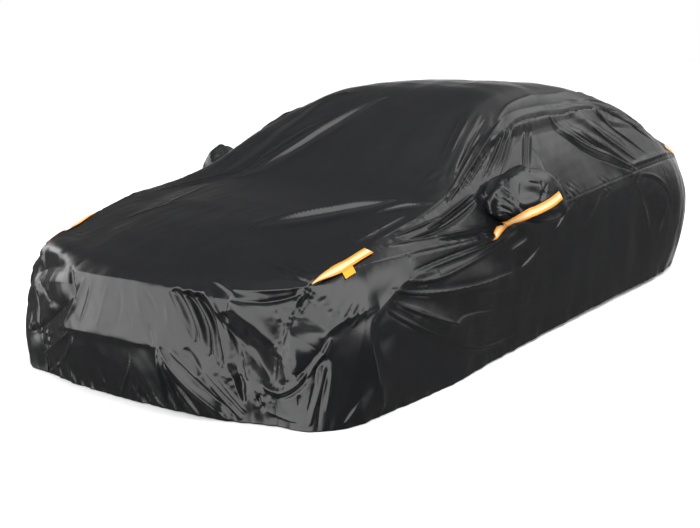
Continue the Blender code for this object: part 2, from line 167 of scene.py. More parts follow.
# The main folds, as in the solids: a ridge or a trough along a line near the cloth. The
# lip across the front is a sharp one in the table of creases instead.
MainFold = namedtuple("MainFold", "name start end half_width height")
MAIN_FOLDS = (
    MainFold("right pillar bridge", (-0.74, -1.00, 0.82), (-0.62, 0.10, 1.15), 0.20, 0.055),
    MainFold("right fender bridge", (-0.84, -1.75, 0.66), (-0.86, -0.85, 0.80), 0.16, 0.038),
    MainFold("right front corner", (-0.80, -2.10, 0.50), (-0.86, -2.06, 0.05), 0.16, 0.030),
    MainFold("screen ridge", (-0.43, -1.07, 0.83), (-0.06, -0.32, 1.18), 0.07, 0.018),
    MainFold("screen foot fold", (0.24, -1.71, 0.71), (0.60, -1.21, 0.79), 0.08, 0.018),
    MainFold("left pillar gather", (0.62, -0.78, 0.92), (0.52, -0.39, 1.11), 0.06, 0.018),
    MainFold("front upper trough", (0.34, -2.29, 0.50), (0.41, -2.30, 0.31), 0.07, -0.022),
    MainFold("front fan", (0.19, -2.33, 0.29), (0.43, -2.24, 0.02), 0.08, 0.026),
    MainFold("corner hollow", (0.50, -2.27, 0.42), (0.66, -2.21, 0.17), 0.11, -0.042),
    MainFold("corner sag", (0.64, -2.21, 0.15), (0.83, -2.13, 0.29), 0.09, 0.024),
    MainFold("corner band", (0.48, -2.22, 0.55), (0.73, -2.10, 0.57), 0.07, 0.018),
    MainFold("right corner hollow", (-0.55, -2.24, 0.44), (-0.78, -2.12, 0.30), 0.11, -0.038),
    MainFold("left fender hollow", (0.95, -1.52, 0.50), (0.97, -1.90, 0.40), 0.10, -0.026),
    MainFold("left door fold, upper", (0.95, -1.60, 0.50), (0.95, -0.75, 0.40), 0.09, 0.022),
    MainFold("left door fold, lower", (0.97, -1.77, 0.44), (0.98, -1.20, 0.24), 0.08, 0.020),
    MainFold("left quarter ridge", (0.65, 0.32, 1.06), (0.86, 1.02, 0.72), 0.08, 0.022),
    MainFold("left quarter ridge, rear", (0.64, 0.62, 1.08), (0.83, 1.16, 0.80), 0.07, 0.018),
    MainFold("right door fold", (-0.95, -1.66, 0.48), (-0.94, -0.60, 0.34), 0.09, 0.020),
    MainFold("right quarter ridge", (-0.65, 0.45, 1.06), (-0.86, 1.15, 0.70), 0.08, 0.020),
    MainFold("rear left hollow", (0.42, 2.31, 0.60), (0.64, 2.26, 0.30), 0.10, -0.022),
    MainFold("rear right hollow", (-0.50, 2.30, 0.55), (-0.66, 2.24, 0.22), 0.10, -0.026),
)
# smaller folds of the rear, which the photograph doesn't show
REAR_FOLDS = (
    MainFold("boot lip", (-0.60, 2.16, 0.74), (0.62, 2.14, 0.74), 0.045, 0.012),
    MainFold("hang from left corner", (0.66, 2.10, 0.72), (0.34, 2.33, 0.20), 0.040, 0.016),
    MainFold("second from left corner", (0.62, 2.14, 0.70), (0.14, 2.35, 0.34), 0.034, 0.013),
    MainFold("hang from right corner", (-0.66, 2.10, 0.72), (-0.40, 2.33, 0.16), 0.038, 0.017),
    MainFold("second from right corner", (-0.60, 2.16, 0.70), (-0.06, 2.36, 0.26), 0.036, 0.013),
    MainFold("upright, left", (0.24, 2.28, 0.66), (0.20, 2.33, 0.04), 0.022, 0.008),
    MainFold("upright, right", (-0.22, 2.28, 0.66), (-0.25, 2.33, 0.04), 0.024, 0.009),
    MainFold("rear screen, left", (0.46, 1.24, 1.04), (0.30, 1.80, 0.84), 0.030, 0.009),
    MainFold("rear screen, right", (-0.44, 1.20, 1.05), (-0.34, 1.86, 0.82), 0.034, 0.010),
    MainFold("boot, across", (0.40, 1.84, 0.80), (-0.30, 1.98, 0.79), 0.040, 0.009),
)
FADE_FROM, FADE_SPAN = 0.12, 0.76        # the part of a half sine wave that a fold's length has


def mainly_folded(points, folds=MAIN_FOLDS):
    """Each main fold moves points outwards by its height times exp(-2 (distance over half
    width) squared), fading towards the fold's two ends with a sine."""
    height = np.zeros(points.shape[:-1])
    for fold in folds:
        start, run = np.array(fold.start), np.array(fold.end) - np.array(fold.start)
        t = np.clip((points - start) @ run / (run @ run), 0, 1)
        off = np.linalg.norm(points - start - t[..., None] * run, axis=-1) / fold.half_width
        height += fold.height * np.exp(-2 * off**2) * np.sin(pi * (FADE_FROM + FADE_SPAN * t))
    return points + height[..., None] * outward(points)


# The creases that the photograph shows, each from pixel to pixel of it. Width and height
# are real, in millimetres; peak is the share of its length where it is highest, and crest
# runs from 1, a sharp edge, to 2, a soft swell, and 0 gives two flat facets. Lean from -1
# to 1 makes the side on the right hand, walking from start to end, wider than the other.
Crease = namedtuple("Crease", "start middle end width height peak crest lean", defaults=(0.0,))
FRONT_CREASES = (
    # the bonnet's front edge, and the grey band's lower and left edges
    Crease((60, 268), (138, 281), (215, 294), 50, 9, 0.5, 1.0),
    Crease((190, 290), (228, 301), (262, 306), 40, 8, 0.5, 1.0),
    Crease((56, 325), (112, 336), (168, 350), 90, 15, 0.5, 1.0, -0.6),
    Crease((86, 277), (76, 300), (64, 324), 26, 9, 0.5, 1.0),
    Crease((73, 266), (74, 282), (77, 302), 16, -9, 0.5, 0, 0.2),
    # the dark facet at the right corner, and the crinkles under it
    Crease((26, 293), (48, 287), (76, 284), 92, 38, 0.5, 0, 0.2),
    Crease((28, 290), (38, 303), (50, 317), 80, -13, 0.5, 0),
    Crease((30, 275), (48, 267), (68, 264), 70, -13, 0.5, 0, 0.2),
    Crease((36, 252), (56, 250), (82, 263), 85, 16, 0.5, 0),
    Crease((46, 284), (43, 305), (42, 332), 185, 24, 0.5, 0, -0.62),
    Crease((47, 255), (39, 268), (31, 284), 75, 26, 0.5, 2.0),
    Crease((22, 336), (46, 324), (72, 302), 30, -14, 0.5, 1.0),
    Crease((73, 332), (67, 354), (48, 376), 9, 8, 0.4, 1.0),
    Crease((70, 331), (58, 342), (44, 354), 18, 10, 0.5, 1.0),
    # fine streaks down the band
    Crease((126, 307), (130, 316), (133, 326), 7, -4, 0.5, 1.1),
    Crease((144, 316), (150, 332), (156, 348), 8, -6, 0.6, 1.1),
    Crease((149, 318), (154, 332), (158, 345), 6, -4, 0.6, 1.1),
    Crease((146, 290), (151, 300), (157, 312), 8, -5, 0.5, 1.1),
    Crease((92, 282), (88, 300), (82, 321), 10, 4, 0.5, 1.2),
    Crease((108, 284), (104, 302), (99, 326), 9, 3, 0.5, 1.2),
    Crease((120, 287), (121, 304), (118, 328), 8, -3, 0.5, 1.2),
    Crease((137, 291), (140, 308), (143, 330), 9, 3, 0.5, 1.2),
    Crease((166, 300), (168, 318), (172, 340), 10, 5, 0.5, 1.2),
    # gathers above the hem
    Crease((96, 362), (103, 380), (110, 396), 7, 7, 0.6, 1.0),
    Crease((130, 353), (127, 378), (123, 401), 7, 7, 0.6, 1.0),
    Crease((136, 378), (138, 390), (141, 404), 7, 7, 0.6, 1.0),
    Crease((143, 384), (147, 396), (153, 409), 7, 7, 0.6, 1.0),
    Crease((152, 388), (156, 398), (163, 410), 6, 6, 0.6, 1.0),
    Crease((84, 380), (88, 388), (94, 394), 6, 4, 0.6, 1.0),
    # the lower fan, which runs down from the right end of the band's lower edge
    Crease((158, 349), (161, 374), (167, 404), 17, 22, 0.5, 0, 0.2),
    Crease((161, 350), (170, 380), (183, 411), 20, 27, 0.5, 0, 0.3),
    Crease((166, 358), (180, 388), (198, 415), 16, 18, 0.5, 0, 0.3),
    Crease((160, 346), (190, 383), (230, 420), 36, 30, 0.5, 0, 0.5),
    Crease((166, 350), (200, 385), (238, 420), 9, -10, 0.5, 0),
    Crease((170, 348), (207, 383), (243, 419), 24, 16, 0.5, 0, 0.2),
    Crease((204, 376), (219, 396), (238, 420), 12, -12, 0.5, 0, 0.3),
    Crease((184, 348), (191, 360), (200, 376), 30, -12, 0.5, 1.6),
    Crease((206, 372), (222, 390), (244, 414), 9, 9, 0.5, 0, -0.4),
    Crease((220, 380), (232, 396), (246, 412), 8, 7, 0.5, 0, -0.4),
    # the upper fan, under the bonnet's edge
    Crease((173, 290), (183, 312), (195, 342), 26, -40, 0.4, 0, -0.5),
    Crease((184, 292), (196, 320), (210, 356), 29, -54, 0.4, 0, -0.5),
    Crease((194, 294), (207, 326), (223, 368), 29, -52, 0.4, 0, -0.5),
    Crease((204, 292), (222, 338), (246, 394), 36, -28, 0.6, 0, -0.4),
    Crease((205, 290), (213, 306), (225, 328), 17, 15, 0.5, 0, -0.2),
    Crease((216, 300), (220, 312), (226, 322), 9, -8, 0.5, 0, -0.4),
    Crease((220, 322), (233, 352), (246, 382), 10, -12, 0.5, 0, -0.4),
    Crease((236, 376), (240, 389), (244, 403), 16, -20, 0.5, 0, -0.2),
    # the deep V: two dark hollows, and the bright fold that hangs between them
    Crease((221, 322), (237, 358), (268, 384), 32, 15, 0.5, 0, 0.2),
    Crease((262, 383), (286, 391), (312, 363), 22, 20, 0.5, 0, 0.2),
    Crease((223, 312), (243, 352), (285, 387), 84, -38, 0.5, 0, -0.3),
    Crease((229, 302), (250, 317), (272, 346), 100, 32, 0.5, 0, 0.1),
    Crease((240, 318), (254, 334), (268, 350), 12, 5, 0.5, 1.0),
    Crease((284, 326), (303, 330), (325, 337), 90, 20, 0.5, 0, 0.5),
    Crease((291, 328), (294, 350), (299, 374), 90, 36, 0.5, 0, -0.45),
    Crease((296, 375), (312, 368), (324, 356), 95, -26, 0.5, 0, -0.4),
    Crease((277, 340), (283, 358), (286, 382), 26, 14, 0.5, 1.2),
    Crease((306, 384), (316, 362), (330, 338), 14, 16, 0.5, 0, 0.2),
    # below the V and towards the side
    Crease((279, 399), (295, 392), (313, 373), 20, -20, 0.5, 0, -0.4),
    Crease((325, 366), (317, 392), (309, 426), 16, 18, 0.4, 0),
    Crease((318, 372), (314, 394), (308, 412), 10, -12, 0.4, 0),
    Crease((329, 370), (323, 395), (318, 427), 10, -12, 0.4, 0),
    Crease((332, 372), (329, 392), (326, 412), 9, 8, 0.4, 1.0),
    Crease((297, 394), (299, 400), (298, 408), 8, -10, 0.5, 1.0),
    Crease((255, 391), (258, 398), (263, 408), 8, -10, 0.5, 1.0),
    Crease((266, 410), (282, 418), (300, 422), 7, 5, 0.5, 1.0),
    Crease((344, 424), (352, 411), (361, 397), 12, 12, 0.5, 1.0),
    # the folds that run out from the front corner point
    Crease((230, 289), (266, 291), (306, 287), 20, 16, 0.5, 1.0),
    Crease((230, 300), (266, 302), (304, 293), 14, -15, 0.5, 1.1),
    Crease((258, 257), (282, 269), (310, 282), 9, 9, 0.6, 1.0),
    Crease((272, 265), (290, 273), (311, 282), 8, 7, 0.6, 1.0),
    Crease((283, 261), (297, 270), (312, 281), 8, 7, 0.6, 1.0),
    Crease((293, 262), (303, 270), (314, 280), 7, 6, 0.6, 1.0),
    Crease((278, 275), (292, 279), (309, 283), 8, -6, 0.6, 1.1),
    Crease((211, 281), (225, 286), (240, 300), 10, 10, 0.5, 1.0),
    Crease((309, 286), (327, 279), (347, 267), 11, -9, 0.5, 1.1),
)
TOP_CREASES = (
    # the long pale folds on bonnet and screen
    Crease((250, 227), (321, 213), (398, 200), 24, 33, 0.5, 1.0, -0.2),
    Crease((374, 213), (400, 207), (432, 203), 16, 24, 0.5, 1.0),
    Crease((234, 177), (311, 138), (392, 95), 24, 37, 0.5, 1.0, -0.2),
    Crease((240, 171), (292, 137), (352, 108), 12, 17, 0.5, 1.0),
    Crease((214, 174), (273, 138), (334, 94), 22, 28, 0.5, 1.0),
    Crease((322, 104), (340, 96), (357, 93), 18, 15, 0.5, 1.0),
    Crease((228, 163), (262, 142), (300, 117), 12, 12, 0.5, 1.0),
    Crease((210, 168), (232, 156), (258, 142), 9, 9, 0.5, 1.0),
    Crease((152, 192), (206, 179), (256, 169), 13, 13, 0.5, 1.0),
    Crease((122, 219), (150, 210), (180, 201), 12, 5, 0.5, 1.1),
    Crease((162, 206), (186, 195), (210, 184), 14, 4, 0.5, 1.2),
    Crease((204, 233), (212, 234), (222, 235), 8, 4, 0.5, 1.1),
    # sharp gathers between screen and near pillar
    Crease((450, 176), (463, 148), (481, 112), 22, 10, 0.5, 0),
    Crease((457, 172), (470, 146), (487, 116), 15, -10, 0.5, 0, 0.4),
    Crease((470, 116), (457, 140), (445, 165), 9, 9, 0.5, 1.0),
    Crease((463, 112), (452, 134), (441, 158), 7, 5, 0.5, 1.1),
    Crease((483, 125), (477, 136), (471, 147), 8, 8, 0.5, 1.0),
    Crease((490, 130), (474, 155), (458, 185), 9, 10, 0.5, 1.0),
    Crease((486, 128), (468, 156), (450, 190), 9, -8, 0.5, 1.1),
    Crease((478, 140), (462, 170), (446, 198), 10, 9, 0.5, 1.0),
    # beside the near strip
    Crease((354, 243), (380, 229), (404, 216), 14, 13, 0.5, 1.0),
    Crease((370, 245), (393, 231), (416, 219), 11, 10, 0.5, 1.0),
    Crease((338, 238), (343, 244), (348, 252), 6, 5, 0.5, 1.1),
    Crease((346, 236), (350, 242), (355, 249), 6, 5, 0.5, 1.1),
    Crease((354, 233), (358, 239), (362, 245), 6, 5, 0.5, 1.1),
    Crease((362, 230), (366, 236), (370, 242), 6, 5, 0.5, 1.1),
    # the roof's rounded edge and its creases
    Crease((496, 124), (520, 100), (572, 93), 55, 16, 0.5, 1.1, 0.5),
    Crease((556, 93), (596, 97), (630, 114), 50, 14, 0.5, 1.1, 0.5),
    Crease((476, 152), (515, 130), (574, 114), 42, 14, 0.5, 0, -0.3),
    Crease((552, 117), (595, 110), (642, 126), 42, 13, 0.5, 0, -0.3),
    Crease((541, 103), (547, 109), (553, 117), 8, -7, 0.5, 1.0),
    Crease((552, 102), (558, 108), (565, 115), 8, -7, 0.5, 1.0),
    Crease((564, 100), (570, 106), (578, 113), 8, -7, 0.5, 1.0),
    Crease((546, 103), (552, 110), (559, 117), 7, 6, 0.5, 1.0),
    Crease((568, 99), (611, 114), (660, 145), 15, -14, 0.5, 1.1),
    Crease((588, 98), (608, 106), (628, 118), 12, -12, 0.5, 1.1),
    Crease((580, 97), (606, 104), (634, 118), 9, 9, 0.5, 1.0),
)
SIDE_CREASES = (
    # the bundle down the near pillar, and the pale wedge beside it
    Crease((502, 118), (480, 153), (448, 203), 17, 16, 0.5, 1.0),
    Crease((496, 130), (476, 162), (458, 194), 8, -10, 0.5, 1.1),
    Crease((500, 130), (484, 158), (466, 188), 8, 9, 0.5, 1.0),
    Crease((506, 127), (498, 150), (488, 176), 9, 11, 0.4, 1.0),
    Crease((503, 130), (494, 154), (482, 178), 7, -9, 0.4, 1.1),
    Crease((512, 126), (508, 147), (502, 172), 7, 9, 0.4, 1.0),
    Crease((509, 128), (504, 150), (496, 172), 6, -8, 0.4, 1.1),
    Crease((518, 126), (516, 146), (512, 168), 7, 8, 0.4, 1.0),
    Crease((515, 128), (512, 148), (508, 168), 5, -6, 0.4, 1.1),
    Crease((524, 125), (526, 147), (526, 170), 12, 13, 0.5, 1.0, 0.3),
    Crease((530, 126), (532, 145), (532, 166), 18, -12, 0.5, 1.2),
    Crease((536, 145), (544, 160), (552, 177), 11, 12, 0.5, 1.0),
    Crease((541, 158), (547, 168), (553, 180), 7, 7, 0.5, 1.0),
    Crease((559, 173), (565, 186), (572, 200), 9, 10, 0.5, 1.0),
    # the rear quarter
    Crease((545, 117), (592, 145), (640, 172), 13, 13, 0.5, 1.0),
    Crease((550, 124), (594, 151), (636, 174), 8, -9, 0.5, 1.1),
    Crease((560, 117), (600, 141), (636, 166), 11, 12, 0.5, 1.0),
    Crease((556, 119), (596, 142), (636, 168), 7, -8, 0.5, 1.1),
    Crease((574, 113), (608, 136), (640, 160), 10, 9, 0.5, 1.0),
    Crease((598, 114), (622, 131), (650, 154), 12, 10, 0.5, 1.0),
    Crease((628, 166), (650, 158), (678, 150), 30, 12, 0.5, 1.2),
    Crease((640, 174), (662, 182), (672, 210), 18, 9, 0.5, 1.1),
    # the wing, ahead of the pocket
    Crease((403, 241), (448, 226), (478, 201), 15, -15, 0.5, 1.1),
    Crease((440, 240), (468, 236), (494, 229), 9, -13, 0.5, 1.0),
    Crease((446, 246), (470, 242), (492, 234), 9, -11, 0.5, 1.0),
    Crease((436, 235), (466, 230), (492, 222), 12, 12, 0.5, 1.0),
    Crease((428, 228), (450, 212), (474, 192), 13, 14, 0.5, 1.0),
    Crease((432, 232), (456, 216), (478, 197), 8, -8, 0.5, 1.1),
    Crease((395, 237), (420, 226), (446, 215), 10, 9, 0.5, 1.0),
    Crease((388, 246), (412, 240), (440, 236), 12, 7, 0.5, 1.1),
    # the wing's edge, where the cloth turns from the front to the side
    Crease((438, 271), (400, 285), (373, 322), 60, 20, 0.5, 1.1, -0.3),
    Crease((376, 312), (370, 350), (384, 408), 50, 15, 0.5, 1.2),
    Crease((320, 341), (345, 319), (378, 307), 55, 15, 0.5, 1.0, -0.5),
    # long folds over the side
    Crease((411, 272), (442, 259), (492, 240), 9, -12, 0.5, 1.1),
    Crease((406, 281), (452, 272), (518, 232), 17, 20, 0.4, 1.0, -0.3),
    Crease((420, 271), (458, 257), (500, 240), 9, 10, 0.4, 1.0),
    Crease((390, 290), (452, 291), (520, 270), 14, 17, 0.4, 1.0, -0.3),
    Crease((392, 301), (432, 318), (464, 325), 15, 17, 0.4, 1.0, -0.3),
    Crease((456, 325), (476, 314), (512, 312), 10, 9, 0.4, 1.0),
    Crease((385, 309), (420, 329), (462, 345), 14, 14, 0.4, 1.0, -0.3),
    Crease((452, 342), (488, 347), (520, 327), 11, 9, 0.5, 1.0),
    Crease((470, 292), (496, 290), (520, 284), 10, 7, 0.5, 1.0),
    Crease((340, 323), (346, 313), (352, 303), 6, 6, 0.5, 1.1),
    Crease((346, 325), (352, 314), (358, 304), 6, 6, 0.5, 1.1),
    Crease((351, 327), (357, 317), (362, 308), 6, 6, 0.5, 1.1),
    Crease((540, 247), (529, 259), (517, 273), 9, 11, 0.5, 1.0),
    Crease((536, 252), (527, 262), (520, 271), 6, 7, 0.5, 1.0),
    Crease((527, 239), (518, 246), (509, 252), 16, 13, 0.5, 1.0),
    Crease((568, 208), (561, 220), (553, 234), 9, 12, 0.5, 1.0),
    Crease((574, 203), (566, 214), (560, 226), 7, 7, 0.5, 1.0),
    Crease((494, 318), (518, 306), (546, 290), 8, 5, 0.5, 1.0),
    Crease((600, 196), (592, 214), (580, 232), 10, 6, 0.5, 1.1),
    Crease((636, 184), (646, 206), (650, 236), 12, 6, 0.5, 1.1),
    Crease((668, 190), (664, 214), (656, 244), 10, 6, 0.5, 1.1),
)


MM = 0.001
CREST_REACH, FACET_REACH = 3.2, 1.3      # in widths, how far out a crease can move cloth,
REACH_MORE = 0.03                        # and in metres, what is added for its bend
CREST_ROUND, CREST_DROP = 0.02, 0.14     # they round the crest, in shares of the width
FOOT_ROUND = 0.004                       # and this the foot of a facet
BLUNT, NARROWEST = 0.6, 0.4              # power of the swell, and the share of width at the ends
LAYER = 60 * MM                          # cloth farther in or out than this moves less


def real_crease(crease, nodes, sign=1.0, shift=(0, 0, 0), share=1.0):
    """A crease in metres on the left, sign 1, or mirrored to the right, with its height
    times a share. Its line is the start, the control point of the quadratic curve through
    the middle pixel's point, which is twice that less the mean of both ends, and the end."""
    start, middle, end = (under_pixel(p, nodes) * (sign, 1, 1) + shift for p in crease[:3])
    line = (start, 2 * middle - (start + end) / 2, end)
    return (line, crease.width * MM, crease.height * MM * share, crease.peak, crease.crest,
            crease.lean * sign)


def quadratic(start, bend, end, t):
    """Points and directions at t of the quadratic curve with the control point bend."""
    s = t[:, None]
    return ((1 - s)**2 * start + 2 * s * (1 - s) * bend + s**2 * end,
            2 * (1 - s) * (bend - start) + 2 * s * (end - bend))


def creased(points, directions, creases):
    """Moves points along their directions by every crease. t is the share along the curve
    of the nearest point, from two Newton steps, and the height at it is that of sin(pi t')
    to the 0.6, with t' = t to the power that puts the peak at its share. Across, it is
    exp(-2 u^crest), with u the sideways distance over the width there, or 1 - u."""
    flat, ways = points.reshape(-1, 3), directions.reshape(-1, 3)
    height = np.zeros(len(flat))
    for (start, bend, end), width, rise, peak, crest, lean in creases:
        reach = (CREST_REACH if crest else FACET_REACH) * width * (1 + abs(lean)) + REACH_MORE
        low = np.minimum(np.minimum(start, end), (start + 2 * bend + end) / 4) - reach
        high = np.maximum(np.maximum(start, end), (start + 2 * bend + end) / 4) + reach
        near = np.flatnonzero(((flat > low) & (flat < high)).all(1))
        if not len(near):
            continue
        here, run = flat[near], end - start
        t = np.clip((here - start) @ run / (run @ run), 0, 1)
        for _ in range(2):
            curve, slope = quadratic(start, bend, end, t)
            t = np.clip(t + ((here - curve) * slope).sum(1) / (slope**2).sum(1), 0, 1)
        curve, slope = quadratic(start, bend, end, t)
        off = here - curve
        sideways = (off * unit(np.cross(slope, ways[near]))).sum(1)
        depth = abs((off * ways[near]).sum(1))
        swell = np.sin(pi * t**(np.log(0.5) / np.log(peak)))**BLUNT
        wide = (width * (NARROWEST + (1 - NARROWEST) * swell)
                * np.where(sideways > 0, 1 + lean, 1 - lean))
        u = np.sqrt((sideways / wide)**2 + CREST_ROUND) - CREST_DROP
        facets = 0.5 * (1 - u + np.sqrt((1 - u)**2 + FOOT_ROUND))
        shape = np.exp(-2 * u**crest) if crest else facets
        height[near] += rise * swell * shape * np.clip(2 - depth / LAYER, 0, 1)
    return points + height.reshape(points.shape[:-1])[..., None] * directions


# Patches of small hard crinkles: a pixel at their middle, then radius, height and pitch in
# millimetres. The first eight are at the front, and the others are also on the right side.
Crinkles = namedtuple("Crinkles", "at radius height pitch")
CRINKLES = (
    Crinkles((303, 298), 60, 3.2, 26), Crinkles((290, 318), 70, 3.0, 30),
    Crinkles((285, 352), 60, 3.2, 30), Crinkles((326, 302), 55, 1.6, 26),
    Crinkles((48, 338), 75, 3.0, 24), Crinkles((32, 320), 60, 3.0, 24),
    Crinkles((262, 402), 45, 2.6, 22), Crinkles((232, 372), 80, 1.4, 26),
    Crinkles((450, 232), 110, 1.8, 34), Crinkles((486, 236), 60, 3.0, 28),
    Crinkles((480, 158), 110, 2.4, 30), Crinkles((462, 180), 70, 2.4, 26),
    Crinkles((600, 104), 120, 2.2, 34), Crinkles((560, 106), 80, 1.6, 28),
    Crinkles((575, 195), 80, 2.4, 30), Crinkles((606, 186), 80, 2.4, 30),
    Crinkles((636, 176), 90, 2.6, 32), Crinkles((662, 166), 90, 2.6, 32),
    Crinkles((236, 158), 90, 2.4, 30), Crinkles((430, 345), 110, 0.9, 40),
    Crinkles((530, 300), 140, 0.9, 40), Crinkles((620, 235), 160, 1.0, 40),
    Crinkles((40, 265), 70, 1.6, 26), Crinkles((298, 268), 70, 1.4, 24),
    Crinkles((376, 235), 80, 1.6, 26), Crinkles((345, 300), 90, 0.7, 26),
)
FRONT_PATCHES = 8


def crinkled(points, patches, seed):
    """Hard small crinkles: the sum of seven triangle waves in random directions over 2.6,
    which leaves flat facets with sharp edges between them, as high as the patches say. They
    fade with exp(-1.2 (distance over radius) cubed)."""
    chance = np.random.default_rng(seed)
    flat = points.reshape(-1, 3)
    height = np.zeros(len(flat))
    for middle, radius, rise, pitch in patches:
        near = np.flatnonzero((abs(flat - middle) < 2 * radius).all(1))
        total = np.zeros(len(near))
        for _ in range(7):
            way = chance.normal(size=3)
            way /= np.linalg.norm(way) * pitch * chance.uniform(0.8, 2.2)
            total += 4 * abs((flat[near] @ way + chance.uniform()) % 1 - 0.5) - 1
        far = np.linalg.norm(flat[near] - middle, axis=1) / radius
        height[near] += rise * total / 2.6 * np.exp(-1.2 * far**3)
    return height.reshape(points.shape[:-1])


PATCH_MOVES, CREASE_MOVES = 0.05, 0.03   # metres, from the left side to the right
rng = np.random.default_rng(7)
crinkle_patches = [(under_pixel(c.at, PANELS), c.radius * MM, c.height * MM, c.pitch * MM)
                   for c in CRINKLES]
crinkle_patches += [(middle * (-1, 1, 1) + rng.normal(0, PATCH_MOVES, 3) * (0, 1, 0), *sizes)
                    for middle, *sizes in crinkle_patches[FRONT_PATCHES:]]
creases = [real_crease(c, PANELS) for c in FRONT_CREASES + TOP_CREASES + SIDE_CREASES]
# the right side, which doesn't show, has the left side's folds moved a little
for c in SIDE_CREASES:
    moved = rng.normal(0, CREASE_MOVES, 3) * (0.3, 1, 1)
    creases.append(real_crease(c, PANELS, -1.0, moved, rng.uniform(0.6, 1.1)))


def uneven(at, pitch, seed):
    """Smooth random heights from -1 to 1 along a line, with a new one every pitch."""
    knots = np.random.default_rng(seed).uniform(-1, 1, 4096)
    at = np.asarray(at) / pitch + 64
    i, u = np.floor(at).astype(int), at - np.floor(at)
    u = u * u * (3 - 2 * u)
    return knots[i % 4096] * (1 - u) + knots[(i + 1) % 4096] * u


def puckers(run, apart, pitch, reach, height, seed):
    """The small gathers beside a seam or hem: uneven slanting ridges, one every pitch, and
    half as high ones at 0.45 of it, times exp(-2 (apart over reach) squared). run is the
    distance along the seam, and apart that from it."""
    fade = np.exp(-(apart / reach)**2 * 2)
    return height * fade * (uneven(run + 0.25 * apart, pitch, seed)
                            + 0.5 * uneven(run - 0.2 * apart, pitch * 0.45, seed + 1))


def ripples(points, wave, height, seed):
    """Gentle unevenness of cloth that lies loose: the sum of 18 plane waves in random
    directions over 3, with lengths near wave."""
    chance = np.random.default_rng(seed)
    total = np.zeros(points.shape[:-1])
    for _ in range(18):
        way = chance.normal(size=3)
        way /= np.linalg.norm(way) * wave * chance.uniform(0.6, 1.8)
        total += np.cos(2 * pi * (points @ way + chance.uniform()))
    return height * total / 3


def seam_dip(apart):
    """A bell 1.2 mm deep and 5 mm wide at a sewn seam, where its thread pulls both edges in,
    and one 0.6 mm high beside it, where its turned allowance lifts the cloth."""
    return -0.0012 * np.exp(-(apart / 0.005)**2) + 0.0006 * np.exp(-((apart - 0.013) / 0.006)**2)


ROOF_EDGE, ROOF_FACET, ROOF_FOOT = 0.012, 0.08, 0.06     # how far it stands out, and how wide
ROOF_FROM, ROOF_OVER = 0.90, 0.12                        # the seam's height where it starts


def roof_edge(apart, seam_z, side):
    """The cloth is drawn tight along the roof's edge: a tent that falls evenly from the seam
    to nothing at the facet's width. The centre panel, side 1, also has a trough as deep with
    its lowest line there, so its facet is flat, and the window panel, side 0, has none."""
    high = np.clip((seam_z - ROOF_FROM) / ROOF_OVER, 0, 1)
    tent = np.clip(1 - apart / ROOF_FACET, 0, 1)
    foot = ROOF_FACET + ROOF_FOOT * (apart > ROOF_FACET)
    trough = np.clip(1 - abs(apart - ROOF_FACET) / foot, 0, 1)
    return high * (ROOF_EDGE * tent - ROOF_EDGE * trough * side)


ROOF_SEAM_LEFT, BELT_SEAM_LEFT = 20, 40  # metres added to the run, for other gathers on the left


def roof_seam(run, apart, left):
    """Gathers of the roof seam, the same on both panels that meet there."""
    return puckers(run + ROOF_SEAM_LEFT * left, apart, pitch=0.030, reach=0.045,
                   height=0.0018, seed=11)


def distances(points, axis=0):
    """Running distance along one axis of a grid of points."""
    step = np.linalg.norm(np.diff(points, axis=axis), axis=-1)
    return np.concatenate([np.zeros_like(step.take([0], axis)), np.cumsum(step, axis)], axis)


def as_piece(name, mesh, material):
    """A mesh as a piece of the cover: in its material, in the scene and on the root."""
    mesh.materials.append(material)
    mesh.update()
    piece = bpy.data.objects.new(name, mesh)
    bpy.context.scene.collection.objects.link(piece)
    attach(piece, "root")
    return piece


def grid_mesh(name, points, material, uv, closed=False, keep=None):
    """A mesh of four-sided faces through a grid of points, facing outwards, with a UV map
    in metres. closed joins the last column to the first, and keep is a mask of the faces."""
    rows, columns = points.shape[:2]
    index = np.arange(rows * columns).reshape(rows, columns)
    if closed:
        index = np.concatenate([index, index[:, :1]], 1)
    quads = np.stack([index[:-1, :-1], index[:-1, 1:], index[1:, 1:], index[1:, :-1]], -1)
    a, b, c = (points.reshape(-1, 3)[quads[..., i]] for i in (0, 1, 3))
    if (np.cross(b - a, c - a) * outward(a)).sum() < 0:
        quads = quads[..., ::-1]
    corner = quads.reshape(-1, 4) if keep is None else quads[keep].reshape(-1, 4)
    mesh = bpy.data.meshes.new(name)
    mesh.from_pydata(points.reshape(-1, 3), [], corner.tolist())
    layer = mesh.uv_layers.new(name="cloth")
    layer.data.foreach_set("uv", uv.reshape(-1, 2)[corner.ravel()].astype(np.float32).ravel())
    mesh.shade_smooth()
    return as_piece(name, mesh, material)


def linear(code):
    """An sRGB hex colour as linear red, green, blue and alpha."""
    c = np.array([int(code[i:i + 2], 16) for i in (1, 3, 5)]) / 255
    return (*np.where(c <= 0.04045, c / 12.92, ((c + 0.055) / 1.055)**2.4), 1.0)


def new_material(name):
    """A material of that name, its node tree and its main shader."""
    made = bpy.data.materials.new(name)
    made.use_nodes = True
    return made, made.node_tree, made.node_tree.nodes["Principled BSDF"]


def add(tree, kind, settings=None, **links):
    """Adds a node with its settings, and its inputs, by name or by number as in0, as values
    or as other nodes' outputs."""
    made = tree.nodes.new(kind)
    for key, value in (settings or {}).items():
        setattr(made, key, value)
    for key, value in links.items():
        numbered = key.startswith("in") and key[2:].isdigit()
        socket = made.inputs[int(key[2:]) if numbered else key.replace("_", " ")]
        if isinstance(value, bpy.types.NodeSocket):
            tree.links.new(value, socket)
        else:
            socket.default_value = value
    return made


